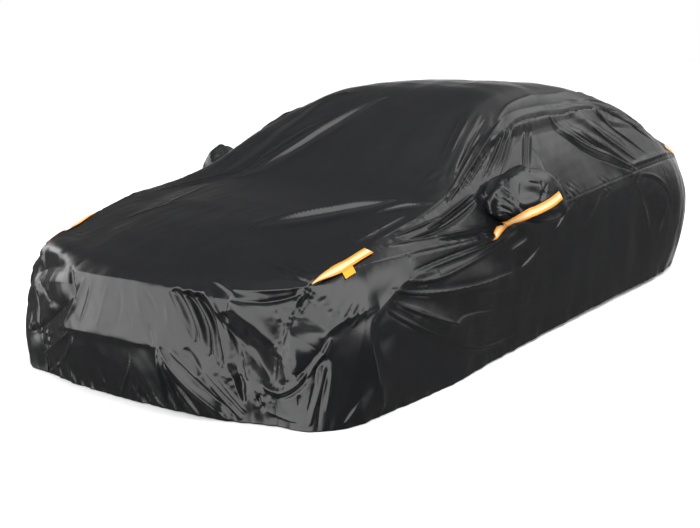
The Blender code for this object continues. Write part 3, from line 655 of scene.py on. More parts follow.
# Polyester taffeta with a black polyurethane coating: satin, a little cool, and smooth.
# The eye gets broad soft reflections with firm edges, broken by fine crinkles, and a faint
# weave, which is drawn at 1.9 mm because the real 0.3 mm threads are too fine to show.
CRINKLE, PATCH, WEAVE = 28 * MM, 250 * MM, 0.6 * pi * MM
WAVE_LENGTH = pi / 10                    # from crest to crest of a wave texture at scale 1
cloth, tree, shader = new_material("coated polyester")
place = add(tree, "ShaderNodeTexCoord")
patches = add(tree, "ShaderNodeTexNoise", Vector=place.outputs["Object"], Scale=1 / PATCH,
              Detail=4.0)
finish = add(tree, "ShaderNodeMapRange", Value=patches.outputs["Fac"], To_Min=0.19, To_Max=0.28)
crinkle = add(tree, "ShaderNodeTexNoise", Vector=place.outputs["Object"], Scale=1 / CRINKLE,
              Detail=5.0, Roughness=0.55, Distortion=0.4)
threads = add(tree, "ShaderNodeTexWave", Vector=place.outputs["UV"], Scale=WAVE_LENGTH / WEAVE)
soft = add(tree, "ShaderNodeBump", Strength=0.10, Distance=0.004, Height=crinkle.outputs["Fac"])
fine = add(tree, "ShaderNodeBump", Strength=0.04, Distance=0.0004, Height=threads.outputs["Fac"],
           Normal=soft.outputs["Normal"])
tone = add(tree, "ShaderNodeMix", {"data_type": "RGBA"}, Factor=patches.outputs["Fac"],
           A=linear("#0b0c0d"), B=linear("#111214"))
tone = [s for s in tone.outputs if s.type == "RGBA"][0]
for name, output in (("Base Color", tone), ("Roughness", finish.outputs["Result"]),
                     ("Normal", fine.outputs["Normal"])):
    tree.links.new(output, shader.inputs[name])
shader.inputs["IOR"].default_value = 1.5

HEM_DEPTH, HEM_ROLL = 0.025, 0.002
HEM_TURNS = (                            # inwards, in rolls, and up, in metres
    (0.3, -0.6 * HEM_ROLL), (1.2, -0.7 * HEM_ROLL), (2.0, 0.5 * HEM_ROLL), (2.2, HEM_DEPTH),
)
HEM_ROWS = len(HEM_TURNS)


def with_hem(points, first):
    """Adds a hem to the first or last row of a grid: four rows that turn under and back up
    inside, to the hem's depth."""
    edge = points[0] if first else points[-1]
    inside = unit(-outward(edge) * (1, 1, 0))
    up = np.array([0, 0, 1.0])
    turns = np.stack([edge + inside * HEM_ROLL * a + up * b for a, b in HEM_TURNS])
    return np.concatenate([turns[::-1], points]) if first else np.concatenate([points, turns])


# Twisted polyester sewing thread, dyed to match. It is matt, so the eye gets fine dashes
# that are darker than the satin cloth. The noise for its twist has no vector, so it is
# stretched over each piece's box, and is about 3.5 mm long along the cover.
TWISTS = 1250.0                          # of the noise, along each side of that box
thread, tree, shader = new_material("polyester thread")
twist = add(tree, "ShaderNodeTexNoise", Scale=TWISTS, Detail=1.0)
ply = add(tree, "ShaderNodeBump", Strength=0.4, Distance=0.0002, Height=twist.outputs["Fac"])
tree.links.new(ply.outputs["Normal"], shader.inputs["Normal"])
shader.inputs["Base Color"].default_value = linear("#0d0d0e")
shader.inputs["Roughness"].default_value = 0.6
STITCH_PITCH, STITCH_LENGTH, THREAD = 0.009, 0.0065, 0.0006
STITCH_FREE = 0.012                      # from each end of a seam to its first stitch
STITCH_ARCH = np.array([-0.8, 0.9, -0.8])    # threads above the cloth at a stitch's 3 points


def stitches(name, lines):
    """Rows of lockstitch along lines of points, in one mesh: each stitch is a three-sided
    thread that comes out of the cloth, runs on it and goes back in."""
    corners = []
    for line in lines:
        run = distances(line)
        starts = np.arange(STITCH_FREE, run[-1] - STITCH_FREE, STITCH_PITCH)
        at = starts[:, None] + STITCH_LENGTH * np.array([0, 0.5, 1])
        spine = np.stack([np.interp(at, run, line[:, axis]) for axis in range(3)], -1)
        forward = spine[:, 2:] - spine[:, :1]
        aside = unit(np.cross(forward, outward(spine) + (0, 0, 0.2)), 1e-12)
        up = unit(np.cross(aside, forward), 1e-12)
        up *= np.sign((up * outward(spine)).sum(-1))[..., None]
        spine = spine + up * (THREAD * STITCH_ARCH)[:, None]
        corners.append(np.stack([spine + aside * THREAD / 2, spine + up * THREAD / 2,
                                 spine - aside * THREAD / 2], 2))
    corners = np.concatenate(corners)
    first = 9 * np.arange(len(corners))[:, None, None]
    a, b = np.meshgrid([0, 1], [0, 1, 2], indexing="ij")
    after = (b + 1) % 3
    quads = np.stack([3 * a + b, 3 * a + after, 3 * a + 3 + after, 3 * a + 3 + b], -1)
    quads = first + quads.reshape(1, 6, 4)
    mesh = bpy.data.meshes.new(name)
    mesh.from_pydata(corners.reshape(-1, 3), [], quads.reshape(-1, 4).tolist())
    piece = as_piece(name, mesh, thread)
    return piece


def dressed(points, extra=0.0):
    """Cover points with the main folds, the photograph's creases, the loose ripples that
    every panel has, the crinkles, and what a panel adds."""
    points = mainly_folded(mainly_folded(points), REAR_FOLDS)
    ways = outward(points)
    points = creased(points, ways, creases)
    relief = ripples(points, 0.30, 0.0016, 3) + ripples(points, 0.09, 0.0004, 4)
    return points + (relief + crinkled(points, crinkle_patches, 17) + extra)[..., None] * ways


def spread(stretches):
    """The points of stretches that follow each other, evenly spaced in each one."""
    joined = [np.linspace(*stretch)[:-1] for stretch in stretches]
    return np.concatenate(joined + [[stretches[-1].end]])


# The rows of the mesh are closer together where the creases are finer, and its columns on
# the left half, which has more folds, and towards the two seams.
Stretch = namedtuple("Stretch", "start end points")
CENTRE_STRETCHES = (
    Stretch(0, 1, 60), Stretch(1, 2, 64), Stretch(2, 3, 42), Stretch(3, 5, 72),
    Stretch(5, 8, 72), Stretch(8, 12, 48), Stretch(12, 14, 34),
)
CENTRE_COLUMNS, TOWARDS_LEFT, TOWARDS_SEAMS = 250, 0.18, 0.25
even = np.linspace(-1, 1, CENTRE_COLUMNS)
even = even + TOWARDS_LEFT * (1 - even**2)
even = TOWARDS_SEAMS * np.sin(even * pi / 2) + (1 - TOWARDS_SEAMS) * even
station, across = np.meshgrid(spread(CENTRE_STRETCHES), even, indexing="ij")
smooth = centre_surface(station, across)
girth = distances(smooth, 1)
from_seam = np.minimum(girth, girth[:, -1:] - girth)
from_hem = np.minimum(distances(smooth), distances(smooth[::-1])[::-1])
extra = (roof_seam(distances(centre_surface(station[:, :1], 1.0)), from_seam, across > 0)
         + seam_dip(from_seam) + roof_edge(from_seam, centre_surface(station, 1.0)[..., 2], 1)
         + puckers(girth, from_hem, pitch=0.040, reach=0.110, height=0.0060, seed=15))
points = with_hem(with_hem(dressed(smooth, extra), True), False)
uv = np.stack([np.pad(girth, ((HEM_ROWS, HEM_ROWS), (0, 0)), mode="edge"), distances(points)], -1)
centre = grid_mesh("centre_cloth", points, cloth, uv)
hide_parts("centre_panel")
hem_stitches = stitches("stitches_centre", [points[HEM_ROWS + 4], points[-HEM_ROWS - 2]])


# ---- Window panels --------------------------------------------------------------------
# A long lens-shaped panel on each side between the roof seam and the belt seam, of the same
# cloth. Its cloth is open where the mirror pocket is sewn on.
Point = namedtuple("Point", "x y z")
BELT = (
    Point(0.763, -2.07, 0.570), Point(0.850, -1.84, 0.615), Point(0.895, -1.51, 0.620),
    Point(0.905, -1.24, 0.612), Point(0.915, -1.00, 0.612), Point(0.915, -0.72, 0.622),
    Point(0.905, -0.33, 0.650), Point(0.890, 0.10, 0.675), Point(0.875, 0.60, 0.700),
    Point(0.860, 1.05, 0.720), Point(0.825, 1.66, 0.735), Point(0.715, 2.17, 0.705),
)
WINDOW_BULGE = 0.03                      # share of the panel's height
POCKET_Y, POCKET_Z, POCKET_HALF_Y, POCKET_HALF_Z = -0.66, 0.735, 0.150, 0.095
POCKET_LAP = 0.012                       # how far the pocket laps over the window cloth
HANDS = (("left", 1.0, (1.0, 1.0, 1.0)), ("right", -1.0, (-1.0, 1.0, 1.0)))


def along(points, share):
    """The curve through a table of points, by share of its chord length."""
    rows = np.array(points, float)
    reach = np.r_[0, np.cumsum(np.linalg.norm(np.diff(rows, axis=0), axis=1))]
    return through(reach / reach[-1], rows, share)


def belt_share(station):
    """Share of the belt seam that lies at the same y as the roof seam at a station."""
    shares = np.linspace(0, 1, 801)
    return np.interp(centre_surface(station, 1.0)[..., 1], along(BELT, shares)[:, 1], shares)


def window_surface(station, down):
    """From the roof seam (down 0) straight to the belt seam (down 1), plus a bulge that is
    a parabola across, as high as a share of the distance between the seams."""
    station, down = np.broadcast_arrays(np.asarray(station, float), np.asarray(down, float))
    top, low = centre_surface(station, 1.0), along(BELT, belt_share(station))
    height = np.linalg.norm(top - low, axis=-1)
    bulge = (WINDOW_BULGE * height * 4 * down * (1 - down))[..., None]
    return top + (low - top) * down[..., None] + bulge * np.array([0.85, 0.0, 0.5])


def belt_seam(run, apart, left):
    """Gathers of the belt seam, the same on both panels that meet there."""
    return puckers(run + BELT_SEAM_LEFT * left, apart, pitch=0.034, reach=0.040,
                   height=0.0013, seed=21)


WINDOW_ROWS, WINDOW_COLUMNS = 680, 78
CORNER_GAP = 0.012                       # stations left out where the panel runs to a point
STITCH_ROWS_FREE = 8                     # rows at each point that are too narrow for stitches
rows = np.linspace(FRONT_CORNER + CORNER_GAP, REAR_CORNER - CORNER_GAP, WINDOW_ROWS)
rows, downs = np.meshgrid(rows, np.linspace(0, 1, WINDOW_COLUMNS), indexing="ij")
smooth = window_surface(rows, downs)
seam_run = distances(smooth[:, :1])
drop = distances(smooth, 1)
rise = drop[:, -1:] - drop
uv = np.stack([np.broadcast_to(seam_run, drop.shape), drop], -1)
for hand, sign, mirror in HANDS:
    extra = (roof_seam(seam_run, drop, sign > 0) + belt_seam(seam_run, rise, sign > 0)
             + roof_edge(drop, smooth[:, :1, 2], 0) + seam_dip(np.minimum(drop, rise)))
    points = dressed(smooth * mirror, extra)
    middle = (points[:-1, :-1] + points[1:, 1:]) / 2
    mouth = (((middle[..., 1] - POCKET_Y) / (POCKET_HALF_Y - POCKET_LAP))**2
             + ((middle[..., 2] - POCKET_Z) / (POCKET_HALF_Z - POCKET_LAP))**2)
    piece = grid_mesh(f"window_cloth_{hand}", points, cloth, uv, keep=mouth > 1)
    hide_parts(f"window_panel_{hand}")
    inner = points[STITCH_ROWS_FREE:-STITCH_ROWS_FREE]
    seams = stitches(f"stitches_window_{hand}", [inner[:, 1], inner[:, -2]])


# ---- Side panels ----------------------------------------------------------------------
# The skirt on each side, from the belt seam to the hem, of the same cloth. It is sewn to
# the centre panel down both corners, and its hem is turned and sewn over elastic.
HEM = (
    Point(0.670, -2.180, 0.000), Point(0.805, -2.165, 0.000), Point(0.905, -2.06, 0.000),
    Point(0.945, -1.800, 0.000), Point(0.965, -1.400, 0.000), Point(0.945, -0.90, 0.005),
    Point(0.930, -0.430, 0.010), Point(0.915, 0.590, 0.025), Point(0.905, 1.19, 0.025),
    Point(0.865, 1.700, 0.020), Point(0.775, 1.970, 0.010), Point(0.640, 2.05, 0.010),
)
Bulge = namedtuple("Bulge", "along out")
SIDE_BULGES = (
    Bulge(0.00, 0.060), Bulge(0.06, 0.105), Bulge(0.14, 0.060), Bulge(0.30, 0.020),
    Bulge(0.50, 0.022), Bulge(0.75, 0.030), Bulge(0.90, 0.080), Bulge(1.00, 0.090),
)
FULLEST = 0.8                            # power of down: under 1, the bulge is fullest high up
END_BLEND = 0.10                         # share of the seam over which an end meets the centre


def side_surface(share, down):
    """By share of the belt seam, from it (down 0) to the hem (down 1), with a bulge out of
    the straight line between them, 4 d (1 - d) of its size with d a power of down. The two
    ends follow the centre panel's edge."""
    share, down = np.broadcast_arrays(np.asarray(share, float), np.asarray(down, float))

    def bulged(at):
        top, low = along(BELT, at), along(HEM, at)
        ahead, behind = np.clip(at + 1e-3, 0, 1), np.clip(at - 1e-3, 0, 1)
        run = along(BELT, ahead) + along(HEM, ahead) - along(BELT, behind) - along(HEM, behind)
        out = unit(np.stack([run[..., 1], -run[..., 0], np.zeros_like(at)], -1))
        size = np.interp(at, [b.along for b in SIDE_BULGES], [b.out for b in SIDE_BULGES])
        size = size * 4 * down**FULLEST * (1 - down**FULLEST)
        return top + (low - top) * down[..., None] + out * size[..., None]

    points = bulged(share)
    for end, edge in ((0.0, centre_surface(FRONT_CORNER * (1 - down), 1.0)),
                      (1.0, centre_surface(REAR_CORNER + 2 * down, 1.0))):
        near = np.clip(1 - abs(share - end) / END_BLEND, 0, 1)
        own_edge = bulged(np.full_like(down, end))
        points = points + (near**2 * (3 - 2 * near))[..., None] * (edge - own_edge)
    return points


SIDE_ROWS = 122
SIDE_STRETCHES = (Stretch(0, 0.2, 220), Stretch(0.2, 0.9, 400), Stretch(0.9, 1, 60))
downs, shares = np.meshgrid(np.linspace(0, 1, SIDE_ROWS), spread(SIDE_STRETCHES), indexing="ij")
smooth = side_surface(shares, downs)
run, drop = distances(smooth, 1), distances(smooth)
from_seam = np.minimum(drop, np.minimum(run, run[:, -1:] - run))
for hand, sign, mirror in HANDS:
    extra = (belt_seam(run, drop, sign > 0)
             + puckers(run, drop[-1:] - drop, pitch=0.050, reach=0.080, height=0.0040,
                       seed=31 + int(sign))
             + seam_dip(from_seam))
    points = with_hem(dressed(smooth * mirror, extra), False)
    uv = np.stack([np.pad(run, ((0, HEM_ROWS), (0, 0)), mode="edge"), distances(points)], -1)
    piece = grid_mesh(f"side_cloth_{hand}", points, cloth, uv)
    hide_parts(f"side_panel_{hand}")
    inner = points[:-HEM_ROWS]
    seams = stitches(f"stitches_side_{hand}", [inner[:, 1], inner[:, -2], inner[-5]])


# ---- Mirror pockets -------------------------------------------------------------------
# A boxy pocket of the same cloth on each side, gathered and sewn round a hole in the window
# panel. It is drawn full, and its outer face is turned forwards and up.
Ring = namedtuple("Ring", "spread_y spread_z out back up")
RINGS = (
    Ring(1.00, 1.00, 0.000, 0.000, 0.000), Ring(1.04, 1.00, 0.035, 0.010, 0.004),
    Ring(1.03, 1.05, 0.075, 0.028, 0.018), Ring(1.05, 1.21, 0.120, 0.048, 0.034),
    Ring(1.06, 1.34, 0.165, 0.062, 0.040), Ring(0.98, 1.20, 0.197, 0.068, 0.042),
    Ring(0.58, 0.80, 0.211, 0.070, 0.046), Ring(0.08, 0.12, 0.215, 0.070, 0.046),
)
BOXY, BOXY_FROM = 0.28, 3                # how far from an ellipse, and from which ring fully
TURNED_FORWARD, TURNED_UP = 0.30, 0.046  # the outer face: a share of its y, and metres
PEAK_OUT, PEAK_FROM, PEAK_AHEAD = 0.15, 0.14, 0.014     # how the top rises to its peak


def pocket_surface(ring, angle, mirror):
    """Ring 0 is an ellipse on the window panel, and the others swell out from it and close.
    Their sine and cosine have a power under 1, which makes them boxy, their top is highest
    at the front and outside, and x grows to the rear and falls upwards."""
    ring, angle = np.broadcast_arrays(np.asarray(ring, float), np.asarray(angle, float))
    sizes = through(np.arange(len(RINGS)), RINGS, ring)
    spread_y, spread_z, out, back, up = np.moveaxis(sizes, -1, 0)
    station, down = np.meshgrid(np.linspace(4.5, 7.5, 120), np.linspace(0, 1, 60), indexing="ij")
    panel = (mainly_folded(window_surface(station, down) * mirror) * mirror).reshape(-1, 3)

    def panel_x(y, z):
        nearest = [((panel[:, 1] - a)**2 + (panel[:, 2] - b)**2).argmin() for a, b in zip(y, z)]
        return panel[nearest, 0]

    round_x = panel_x(POCKET_Y + POCKET_HALF_Y * np.cos(angle[0]),
                      POCKET_Z + POCKET_HALF_Z * np.sin(angle[0]))
    middle_x = panel_x([POCKET_Y], [POCKET_Z])[0]
    share = np.clip(ring / BOXY_FROM, 0, 1)
    boxy = 1 - BOXY * share
    ahead = np.sign(np.cos(angle)) * abs(np.cos(angle))**boxy
    above = np.sign(np.sin(angle)) * abs(np.sin(angle))**boxy
    peak = PEAK_OUT * (out - PEAK_FROM) - PEAK_AHEAD * spread_y * ahead
    peaked = share * np.clip(above, 0, 1) * peak
    turned = TURNED_FORWARD * POCKET_HALF_Y * spread_y * ahead * (out / 0.2)**2
    return np.stack([round_x * (1 - share) + middle_x * share + out
                     - TURNED_UP * share * spread_z * above + turned,
                     POCKET_Y + back + POCKET_HALF_Y * spread_y * ahead,
                     POCKET_Z + up + peaked + POCKET_HALF_Z * spread_z * above], -1) * mirror


POCKET_CREASES = (
    # three broad swells that fill it out, then its gathers
    Crease((486, 196), (500, 176), (530, 166), 36, 28, 0.5, 1.3),
    Crease((488, 222), (490, 204), (500, 184), 30, 18, 0.5, 1.5),
    Crease((500, 202), (520, 202), (544, 198), 40, 8, 0.5, 1.8),
    Crease((524, 176), (521, 190), (518, 212), 7, 4, 0.5, 1.0),
    Crease((497, 184), (507, 193), (517, 199), 9, -8, 0.5, 1.1),
    Crease((493, 193), (505, 202), (516, 206), 8, -7, 0.5, 1.1),
    Crease((491, 201), (503, 209), (513, 213), 8, -6, 0.5, 1.1),
    Crease((497, 189), (507, 198), (517, 203), 6, 5, 0.5, 1.0),
    Crease((533, 177), (541, 180), (549, 181), 9, -5, 0.5, 1.1),
    Crease((548, 178), (549, 184), (552, 190), 8, -4, 0.5, 1.1),
    Crease((530, 174), (536, 177), (543, 177), 6, 2, 0.5, 1.0),
    Crease((552, 182), (548, 191), (543, 201), 8, -5, 0.5, 1.0),
    Crease((500, 212), (508, 217), (516, 222), 9, -7, 0.5, 1.1),
    Crease((520, 205), (527, 211), (534, 214), 8, -6, 0.5, 1.1),
)

POCKET_MIDDLE = np.array([0.93, POCKET_Y + 0.03, POCKET_Z + 0.03])
POCKET_ROWS, POCKET_COLUMNS = 78, 140
rings, angles = np.meshgrid(np.linspace(0, len(RINGS) - 1, POCKET_ROWS),
                            np.linspace(0, 2 * pi, POCKET_COLUMNS + 1)[:-1], indexing="ij")
around = angles * POCKET_HALF_Y
for hand, sign, mirror in HANDS:
    base = pocket_surface(rings, angles, mirror)
    round_it, out_it = np.roll(base, -1, 1) - np.roll(base, 1, 1), np.gradient(base, axis=0)
    ways = unit(np.cross(round_it, out_it), 1e-12)
    ways *= np.sign((ways * (base - POCKET_MIDDLE * mirror)).sum(-1))[..., None]
    lines = [real_crease(c, ["mirror_pocket_left"], sign) for c in POCKET_CREASES]
    points = creased(base, ways, lines)
    gather = (puckers(around, distances(base), pitch=0.022, reach=0.05, height=0.004,
                      seed=51 + int(sign)) + ripples(base, 0.09, 0.0012, 52))
    points = points + gather[..., None] * ways
    middle = points[-1:].mean(1, keepdims=True) + np.zeros_like(points[-1:])
    points = np.concatenate([points, middle])
    uv = np.stack([np.pad(around, ((0, 1), (0, 0)), mode="edge"), distances(points)], -1)
    piece = grid_mesh(f"pocket_cloth_{hand}", points, cloth, uv, closed=True)
    solids[f"pocket_cloth_{hand}"] = as_solid(piece.data)
    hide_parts(f"mirror_pocket_{hand}")


# ---- Reflective strips ----------------------------------------------------------------
# Safety tape sewn flat on the cloth: a pale silver band of glass beads between two bright
# orange woven edges. The front and rear ones taper to a point at the corner of three seams.
STRIP_WIDTH, STAND_OFF, TAPE, TAPE_BOW = 0.048, 0.003, 0.0006, 0.0008
Strip = namedtuple("Strip", "end first last width length rise")
STRIPS = (
    Strip("front", 2.02, 3.28, STRIP_WIDTH, 0.36, 0.58),
    Strip("rear", 11.90, 11.28, STRIP_WIDTH * 0.8, 0.26, 0.0),
)
STRIP_POINTS, STRIP_COLUMNS = 60, 9
TIP_WIDTH, TIP_LENGTH = 0.10, 0.55       # shares of the strip's width and length
BELOW_SEAM, SEAM_GAP = 0.62, 0.004       # the middle line: widths and metres below the seam
MIRROR_STRIP = ((504, 223), (515, 218.5), (528, 213.5), (540, 208.5), (550, 203), (558, 196))
MIRROR_STRIP_WIDTH = 0.044
LOOSE_END = (491.5, 238)
LOOSE_OFF, LOOSE_SAG = (0.030, -0.030, 0.0), np.array([0.004, -0.012, 0.006])
LOOSE_WAY = np.array([0.15, -0.95, -0.30])   # where the loose end's face looks
LOOSE_POINTS, LOOSE_WIDTHS = (0, 8, 16), (0.6, 0.75, 1)

# Polyester tape, woven orange at both edges, with a band of glass beads bonded along its
# middle. The eye gets matt orange and a dull silver band, warm where its edge is thin. The
# 0.1 mm beads are drawn at 3 mm, because they are too fine to show.
BEADS = 3 * MM
tape, tree, shader = new_material("reflective safety tape")
place = add(tree, "ShaderNodeTexCoord")
width = add(tree, "ShaderNodeSeparateXYZ", Vector=place.outputs["UV"])
bands = add(tree, "ShaderNodeValToRGB", Fac=width.outputs["X"])
ramp = bands.color_ramp
ramp.elements[0].color = ramp.elements[1].color = linear("#c87a1c")
for stop, code in ((0.20, "#d8882c"), (0.30, "#d2b078"), (0.48, "#cdbd9c"), (0.52, "#c6ab7e"),
                   (0.70, "#d4b480"), (0.80, "#cf8024")):
    ramp.elements.new(stop).color = linear(code)
beads = add(tree, "ShaderNodeTexNoise", Vector=place.outputs["Object"], Scale=1 / BEADS,
            Detail=2.0)
grain = add(tree, "ShaderNodeBump", Strength=0.1, Distance=0.0004, Height=beads.outputs["Fac"])
tree.links.new(bands.outputs["Color"], shader.inputs["Base Color"])
tree.links.new(grain.outputs["Normal"], shader.inputs["Normal"])
shader.inputs["Roughness"].default_value = 0.42


def band_mesh(name, line, normals, width, material):
    """A strip along a line, bowed a little across as a parabola, with a UV map that runs
    from 0 to 1 across it and in metres along it."""
    aside = unit(np.cross(normals, np.gradient(line, axis=0)))
    share = np.linspace(-0.5, 0.5, STRIP_COLUMNS)
    points = line[:, None] + aside[:, None] * (width[:, None] * share)[..., None]
    points = points + normals[:, None] * (TAPE_BOW * (1 - (2 * share)**2))[None, :, None]
    uv = np.stack([np.broadcast_to(share + 0.5, points.shape[:2]), distances(points)], -1)
    piece = grid_mesh(name, points, material, uv)
    thick = piece.modifiers.new("tape", "SOLIDIFY")
    thick.thickness, thick.offset = TAPE, 1.0
    return piece


def cloth_normals(station, down, mirror):
    """Unit normals of the window panel with its main folds, facing away from the hollow:
    the cross product of its steps along and down."""
    def folded(step, lower):
        return mainly_folded(window_surface(station + step, down + lower) * mirror)

    step = 2e-3
    n = unit(np.cross(folded(step, 0) - folded(-step, 0), folded(0, step) - folded(0, -step)))
    return n * np.sign((n * outward(window_surface(station, down) * mirror)).sum(-1))[..., None]


for hand, sign, mirror in HANDS:
    for strip in STRIPS:
        at = np.linspace(strip.first, strip.last, STRIP_POINTS)
        height = np.linalg.norm(centre_surface(at, 1.0) - along(BELT, belt_share(at)), axis=-1)
        tip = abs(at - strip.first) / (TIP_LENGTH * abs(strip.last - strip.first))
        wide = strip.width * np.clip(TIP_WIDTH + tip, 0, 1)
        # the front ones climb onto the seam with a sine, and lean up there
        rising = strip.rise * np.sin(np.linspace(0, pi / 2, len(at)))
        middle = np.clip(((BELOW_SEAM - rising) * wide + SEAM_GAP) / height, 0, 0.5)
        normals = unit(cloth_normals(at, middle, mirror) + rising[:, None] * (0, 0, 0.8))
        line = dressed(window_surface(at, middle) * mirror) + normals * STAND_OFF
        piece = band_mesh(f"{strip.end}_tape_{hand}", line, normals, wide, tape)
        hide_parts(f"{strip.end}_strip_{hand}")

    # on the pocket it follows the photograph's line, and its front end hangs loose
    knots = [under_pixel(pixel, ["pocket_cloth_left"]) for pixel in MIRROR_STRIP]
    line = through(np.arange(len(knots)), knots, np.linspace(0, len(knots) - 1, STRIP_POINTS))
    nearest = [solids["pocket_cloth_left"][1].find_nearest(p.tolist()) for p in line]
    normals = np.array([n[1] for n in nearest])
    normals *= np.sign((normals * (line - POCKET_MIDDLE)).sum(-1))[:, None]
    for _ in range(12):                  # evened out, because the pocket is creased
        normals[1:-1] = (normals[:-2] + 2 * normals[1:-1] + normals[2:]) / 4
    normals = unit(normals)
    line = line + normals * STAND_OFF * np.linspace(3, 6, len(line))[:, None]
    share = np.linspace(0, 1, 20)[:-1, None]
    end = under_pixel(LOOSE_END, ["window_panel_left", "side_panel_left"]) + LOOSE_OFF
    loose = end * (1 - share) + line[0] * share + np.sin(pi * share) * LOOSE_SAG
    turned = LOOSE_WAY * (1 - share) + normals[0] * share
    line, normals = np.vstack([loose, line]), unit(np.vstack([turned, normals]))
    wide = MIRROR_STRIP_WIDTH * np.interp(np.arange(len(line)), LOOSE_POINTS, LOOSE_WIDTHS)
    piece = band_mesh(f"mirror_tape_{hand}", line * mirror, normals * mirror, wide, tape)
    piece.visible_glossy = False         # the photograph's cloth doesn't mirror it
    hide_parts(f"mirror_strip_{hand}")


# ---- Label ----------------------------------------------------------------------------
# A folded tab of plain yellow woven ribbon, caught in the lower edge of the near strip. It
# hangs over the cloth below the seam, a little bowed.
LABEL_SIZE, LABEL_THICK, LABEL_BOW, LABEL_OFF = (0.062, 0.042), 0.0012, 0.004, 0.006
LABEL_PIXEL = (348, 272.5)
LABEL_LONG, LABEL_TALL = ((342, 274.5), (355, 269)), ((346, 269), (350, 276))    # its two axes

# Polyester ribbon, woven with fine ribs and left matt: the eye gets a flat warm yellow. Its
# ribs are drawn 1.3 mm apart, because the real ones are too fine to show.
RIB = 0.4 * pi * MM
ribbon, tree, shader = new_material("woven ribbon")
place = add(tree, "ShaderNodeTexCoord")
warp = add(tree, "ShaderNodeTexWave", Vector=place.outputs["UV"], Scale=WAVE_LENGTH / RIB)
weave = add(tree, "ShaderNodeBump", Strength=0.3, Distance=0.0004, Height=warp.outputs["Fac"])
tree.links.new(weave.outputs["Normal"], shader.inputs["Normal"])
shader.inputs["Base Color"].default_value = linear("#d0920c")
shader.inputs["Roughness"].default_value = 0.6
long, tall = LABEL_SIZE
forward, hang = (unit(under_pixel(end, PANELS) - under_pixel(start, PANELS))
                 for start, end in (LABEL_LONG, LABEL_TALL))
across, down = np.meshgrid(np.linspace(-0.5, 0.5, 25), np.linspace(-0.5, 0.5, 17), indexing="ij")
bow = LABEL_BOW * np.cos(pi * across) * (0.5 + down)
face = np.cross(forward, hang)
face *= np.sign(face @ np.array([0.9, -0.4, 0.5]))
points = (under_pixel(LABEL_PIXEL, PANELS) + LABEL_OFF * face + long * across[..., None] * forward
          + tall * down[..., None] * hang + (bow + 0.001)[..., None] * face)
tab = grid_mesh("label_ribbon", points, ribbon, np.stack([across * long, down * tall], -1))
thick = tab.modifiers.new("ribbon", "SOLIDIFY")
thick.thickness, thick.offset = LABEL_THICK, 1.0
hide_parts("label_tab")


# ---- Floor and light ------------------------------------------------------------------
# A plain pale floor just under the hem, a broad lamp above, which lights the floor and isn't
# mirrored, and boxes of light round the cover, each where the photograph's cloth mirrors one.
# The boxes are drawn on the sky, so they have soft edges and no distance.
FLOOR_Z, FLOOR_SIZE = -0.004, 60.0
bpy.ops.mesh.primitive_circle_add(vertices=96, radius=FLOOR_SIZE, fill_type="NGON",
                                  location=(0, 0, FLOOR_Z))
floor = bpy.context.object
floor.name = "floor"
floor.visible_glossy = False
paint, tree, shader = new_material("pale floor")     # matt emulsion, an even near white
shader.inputs["Base Color"].default_value = linear("#f4f4f4")
shader.inputs["Roughness"].default_value = 0.9
shader.inputs["Specular IOR Level"].default_value = 0.0
floor.data.materials.append(paint)

LAMP_SIZE, LAMP_WATTS, LAMP_HEIGHT = 14.0, 800.0, 7.0
ceiling = bpy.data.lights.new("ceiling", "AREA")
ceiling.shape, ceiling.size, ceiling.energy = "DISK", LAMP_SIZE, LAMP_WATTS
lamp = bpy.data.objects.new("ceiling", ceiling)
lamp.location = (0, 0, LAMP_HEIGHT)
lamp.visible_glossy = False
bpy.context.scene.collection.objects.link(lamp)

# In degrees: from west to east with 0 at +Y and 90 at +X, from low to high over the horizon,
# and the softness of the edge. Power is the level inside.
SoftBox = namedtuple("SoftBox", "name west east low high soft power")
SOFT_BOXES = (
    SoftBox("front", 135, 225, -37, 31, 3, 3.2),
    SoftBox("front right", 225, 254, -16, 40, 3, 2.9),
    SoftBox("front right, beside", 254, 292, 9, 28, 2.5, 2.8),
    SoftBox("left", 60, 135, 22, 62, 3, 3.4),
    SoftBox("front left, high", 135, 168, 31, 60, 3, 2.9),
    SoftBox("left, rear", 26, 60, 28, 47, 3, 2.6),
    SoftBox("left, rear edge", 0, 24, 21, 45, 3, 0.95),
    SoftBox("left, rear, low", 0, 36, 4, 21, 3, 0.22),
    SoftBox("rear", -20, 22, 10, 90, 9, 0.28),
    SoftBox("rear, low", -54, -7, -36, 6, 6, 1.1),
    SoftBox("left, rear, lower", 47, 62, -30, 2, 4, 0.8),
    SoftBox("overhead", -180, 180, 62, 100, 30, 0.45),
)
SKY_LEVEL, SKY_SEEN = 0.12, 1.0          # between the boxes, and for the camera, which sees white

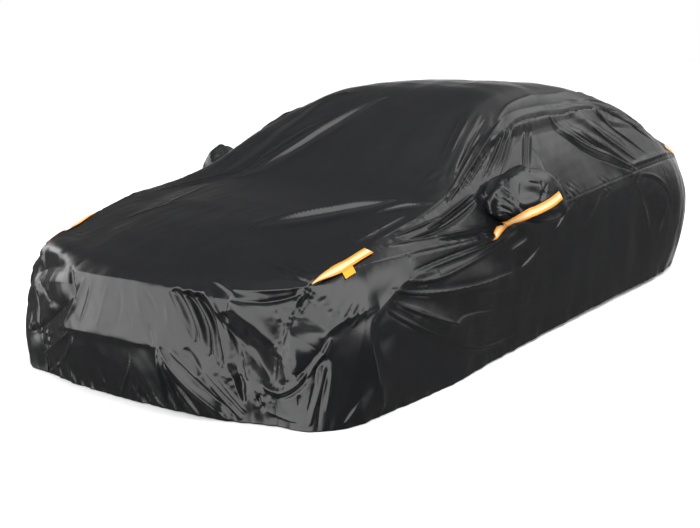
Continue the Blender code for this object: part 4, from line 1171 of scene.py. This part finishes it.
world = bpy.data.worlds.new("studio")
bpy.context.scene.world = world
world.use_nodes = True
tree = world.node_tree
tree.nodes.clear()
way = add(tree, "ShaderNodeTexCoord")
parts = add(tree, "ShaderNodeSeparateXYZ", Vector=way.outputs["Generated"])


def sky_math(kind, *values):
    """The result of one kind of arithmetic on one or two values."""
    inputs = {f"in{i}": value for i, value in enumerate(values)}
    return add(tree, "ShaderNodeMath", {"operation": kind}, **inputs).outputs[0]


def ramp_up(value, start, end):
    """A smooth step from 0 at start to 1 at end, which may be the lower one."""
    return add(tree, "ShaderNodeMapRange", {"interpolation_type": "SMOOTHSTEP"}, Value=value,
               From_Min=start, From_Max=end).outputs["Result"]


azimuth = sky_math("ARCTAN2", parts.outputs["X"], parts.outputs["Y"])
azimuth = sky_math("MULTIPLY", azimuth, degrees(1))
height = sky_math("MULTIPLY", sky_math("ARCSINE", parts.outputs["Z"]), degrees(1))
light = None
for box in SOFT_BOXES:
    middle, half = (box.west + box.east) / 2, (box.east - box.west) / 2
    # degrees from the box's middle, between -180 and 180
    turned = sky_math("FLOORED_MODULO", sky_math("ADD", azimuth, 540 - middle), 360.0)
    turned = sky_math("SUBTRACT", turned, 180)
    inside = ramp_up(sky_math("ABSOLUTE", turned), half + box.soft, half - box.soft)
    band = sky_math("MULTIPLY", ramp_up(height, box.low - box.soft, box.low + box.soft),
                    ramp_up(height, box.high + box.soft, box.high - box.soft))
    glow = sky_math("MULTIPLY", sky_math("MULTIPLY", inside, band), box.power)
    light = glow if light is None else sky_math("ADD", light, glow)
light = sky_math("ADD", light, SKY_LEVEL)
studio = add(tree, "ShaderNodeBackground", Color=(1.0, 1.0, 1.0, 1.0), Strength=light)
seen = add(tree, "ShaderNodeBackground", Color=(1.0, 1.0, 1.0, 1.0), Strength=SKY_SEEN)
path = add(tree, "ShaderNodeLightPath")
mixed = add(tree, "ShaderNodeMixShader", in0=path.outputs["Is Camera Ray"],
            in1=studio.outputs[0], in2=seen.outputs[0])
add(tree, "ShaderNodeOutputWorld", Surface=mixed.outputs[0])
world.cycles.sampling_method = "MANUAL"
world.cycles.sample_map_resolution = 1024
bpy.context.scene.view_settings.view_transform = "Standard"
